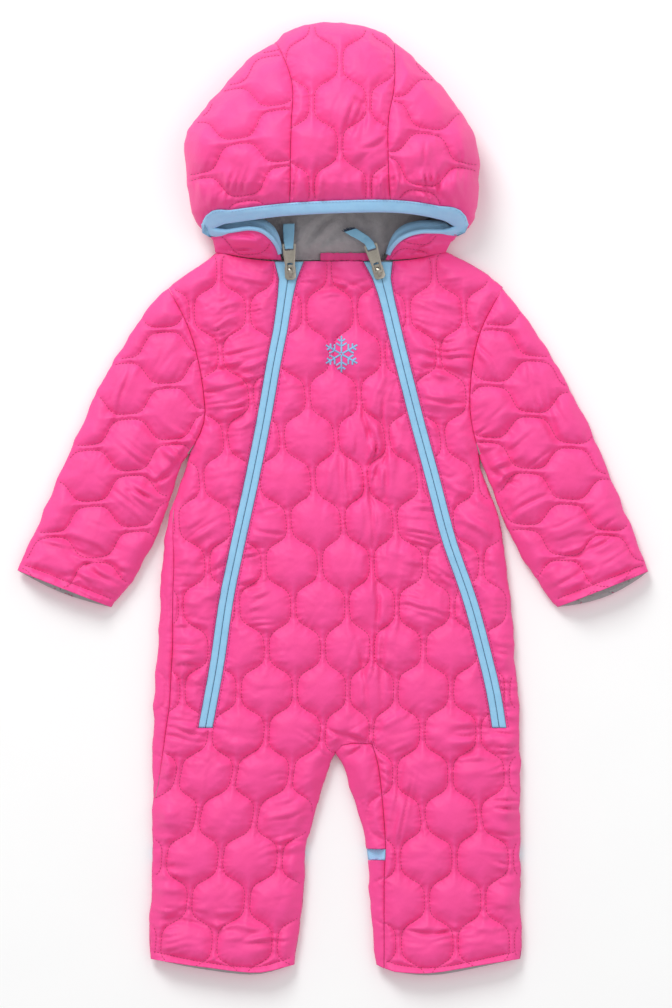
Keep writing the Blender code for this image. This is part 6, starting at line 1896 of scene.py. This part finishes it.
def recut(node, size, relief, material, name):
    """A packed cloth piece cut finer, with its points moved along their normals by a relief."""
    points, faces = even_flats(*packed(node), size)
    points, faces, _ = refined(points, faces, np.ones(len(faces), int), lambda m: np.full(len(m), 1.3 * size))
    points = points + relief(points, point_normals(points, faces))
    return mesh_object(name, points, faces, [material], replaces=node)


def napped(points, normal):
    x, y = points[:, 0], points[:, 1]
    return normal * (NAP * noise(x / 2.1, y / 2.1, 61) + 0.5 * NAP * noise(x / 5.0, y / 5.0, 62))[:, None]


def brushed_up(points, normal):
    """The strips at cuffs and hems, their pile standing over the shell's turned edge."""
    return napped(points, normal) + np.array((0.0, 0.0, PILE_LIFT))


FOLD_DEPTH = 5.0            # height of the lining's folds
FOLD_TURN = radians(62.0)   # their direction
POUCH_FOOT = 210.0          # from here up the lining is heaped
# troughs between the folds that show in the hood's mouth
POUCH_CREASES = (
    Crease(-27.0, 219.0, -2.0, 247.0, 2.0, 3.4, 4.4),
    Crease(-17.0, 218.0, 2.0, 234.0, -1.5, 2.8, 3.4),
    Crease(24.0, 254.0, 31.0, 233.0, 1.5, 3.0, 4.2),
    Crease(55.0, 250.0, 45.0, 226.0, -2.0, 3.2, 4.4),
    Crease(4.0, 216.0, 36.0, 223.0, 2.0, 3.2, 2.0),
    Crease(-44.0, 250.0, -34.0, 222.0, 2.0, 3.2, 3.6),
    Crease(8.0, 252.0, 14.0, 236.0, 1.0, 2.6, 2.2),
)


def folded_pouch(points, normal):
    """Folds of the hood's lining, which always lean into the free space."""
    x, y = points[:, 0], points[:, 1]
    u, v = x * cos(FOLD_TURN) + y * sin(FOLD_TURN), y * cos(FOLD_TURN) - x * sin(FOLD_TURN)
    v = v + 6.0 * noise(u / 40.0, v / 40.0, 66)
    fold = 0.5 + 0.5 * valleys(u / 60.0, v / 17.0, 67)
    outside, d = hood_base(points)
    inward = np.where(points[:, 2] < 0.5 * outside, 1.0, -1.0) * ease(d - 8.0, 20.0)
    lift = np.zeros_like(points)
    heap = np.maximum(FOLD_DEPTH * (0.65 + 0.35 * fold) - creased(points, POUCH_CREASES), 0.4)
    room = np.maximum(hood_base(points, HOOD_WALL)[0] - points[:, 2] - 1.5, 0.0)
    heap = np.where(inward > 0.0, np.minimum(heap, room), heap)
    lift[:, 2] = heap * inward * ease(y - POUCH_FOOT, 14.0)
    return lift + napped(points, normal)

# %% [markdown]
# ## The linings
# The hood's pouch is heaped into its folds. At cuffs and hems only a sliver shows, pressed flat
# between the layers.

# %% The fleece pieces
pouch = recut("hood_lining", LINING_CUT, folded_pouch, grey_fleece, "hood_lining_fleece")
for node in ("cuff_lining_left", "cuff_lining_right", "hem_lining_left", "hem_lining_right"):
    made = recut(node, STRIP_CUT, brushed_up, grey_fleece, node + "_fleece")
    length, area = STRIPS[node]

# %% [markdown]
# ## Neck facing and flap bindings
# The front's neck edge is turned in and puckers where it is stitched down. The ends of the flap
# bindings show in the gap between the legs.

# %% Facing and flap bindings
FACING_LIFT = 1.6           # the turned edge lies over the fleece
FACING_CUT = 1.4
FLAP_CUT = 3.0


def puckered(points, normal):
    x, y = points[:, 0], points[:, 1]
    rumple = normal * (0.45 * valleys(x / 2.9, y / 15.0, 71) + 0.2 * noise(x / 1.6, y / 4.0, 72))[:, None]
    return rumple + np.array((0.0, 0.0, FACING_LIFT))


facing = recut("neck_facing", FACING_CUT, puckered, pink_taffeta, "neck_facing_turned")
for node in ("flap_binding_left", "flap_binding_right"):
    made = recut(node, FLAP_CUT, lambda p, n: 0.0 * p, blue_binding, node + "_sewn")

# %% [markdown]
# ## The embroidery
# A snowflake in blue thread, worked in satin stitch: each bar is filled with threads that run
# straight across it, side by side.

# %% Snowflake
FLAKE = ShapePoint(6.5, 126.0)              # its middle
ARM = 16.0                  # length of an arm
BRANCHES = ((0.42, 5.6), (0.68, 4.0))       # place along an arm, length
BAR_HALF = 0.75             # half the width of a bar
SATIN_PITCH = 0.5           # from one thread to the next
BRANCH_TURN = radians(58.0)
SATIN_THREAD = 0.3          # half its thickness
BAR_START = 0.8             # bars start this far from the place they share
print("snowflake", 2 * ARM, "mm across")

# %% [markdown]
# ## Working the snowflake
# Each arm is a bar of satin stitch from the middle outward, with two pairs of side branches.

# %% The snowflake's stitches
def satin_bar(hand, start, end):
    a, b = np.array(start), np.array(end)
    length = hypot(*(b - a))
    along = (b - a) / length
    across = np.array((-along[1], along[0]))
    for k in range(int(length / SATIN_PITCH)):
        middle = a + along * (k + 0.5) * SATIN_PITCH
        hand.stitch(middle - across * BAR_HALF, middle + across * BAR_HALF, SATIN_THREAD, 0.0)


needle = Threads(panels["front"][0])
centre = np.array(FLAKE)
for k in range(6):
    turn = pi / 2 + k * pi / 3
    arm = np.array((cos(turn), sin(turn)))
    satin_bar(needle, centre + BAR_START * arm, centre + ARM * arm)
    for share, length in BRANCHES:
        for sign in (-1, 1):
            root = centre + share * ARM * arm
            way = np.array((cos(turn + sign * BRANCH_TURN), sin(turn + sign * BRANCH_TURN)))
            satin_bar(needle, root + BAR_START * way, root + length * way)
needle.make("snowflake_embroidery", blue_thread)

# %% [markdown]
# ## Measuring the dressed suit
# The box round every shown piece of the dressed suit is measured and printed. The dressed suit may
# stand only a little proud of the imported one.

# %% Close
low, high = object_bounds()
print("the dressed suit measures", [round(v * 1000, 1) for v in high - low], "mm")
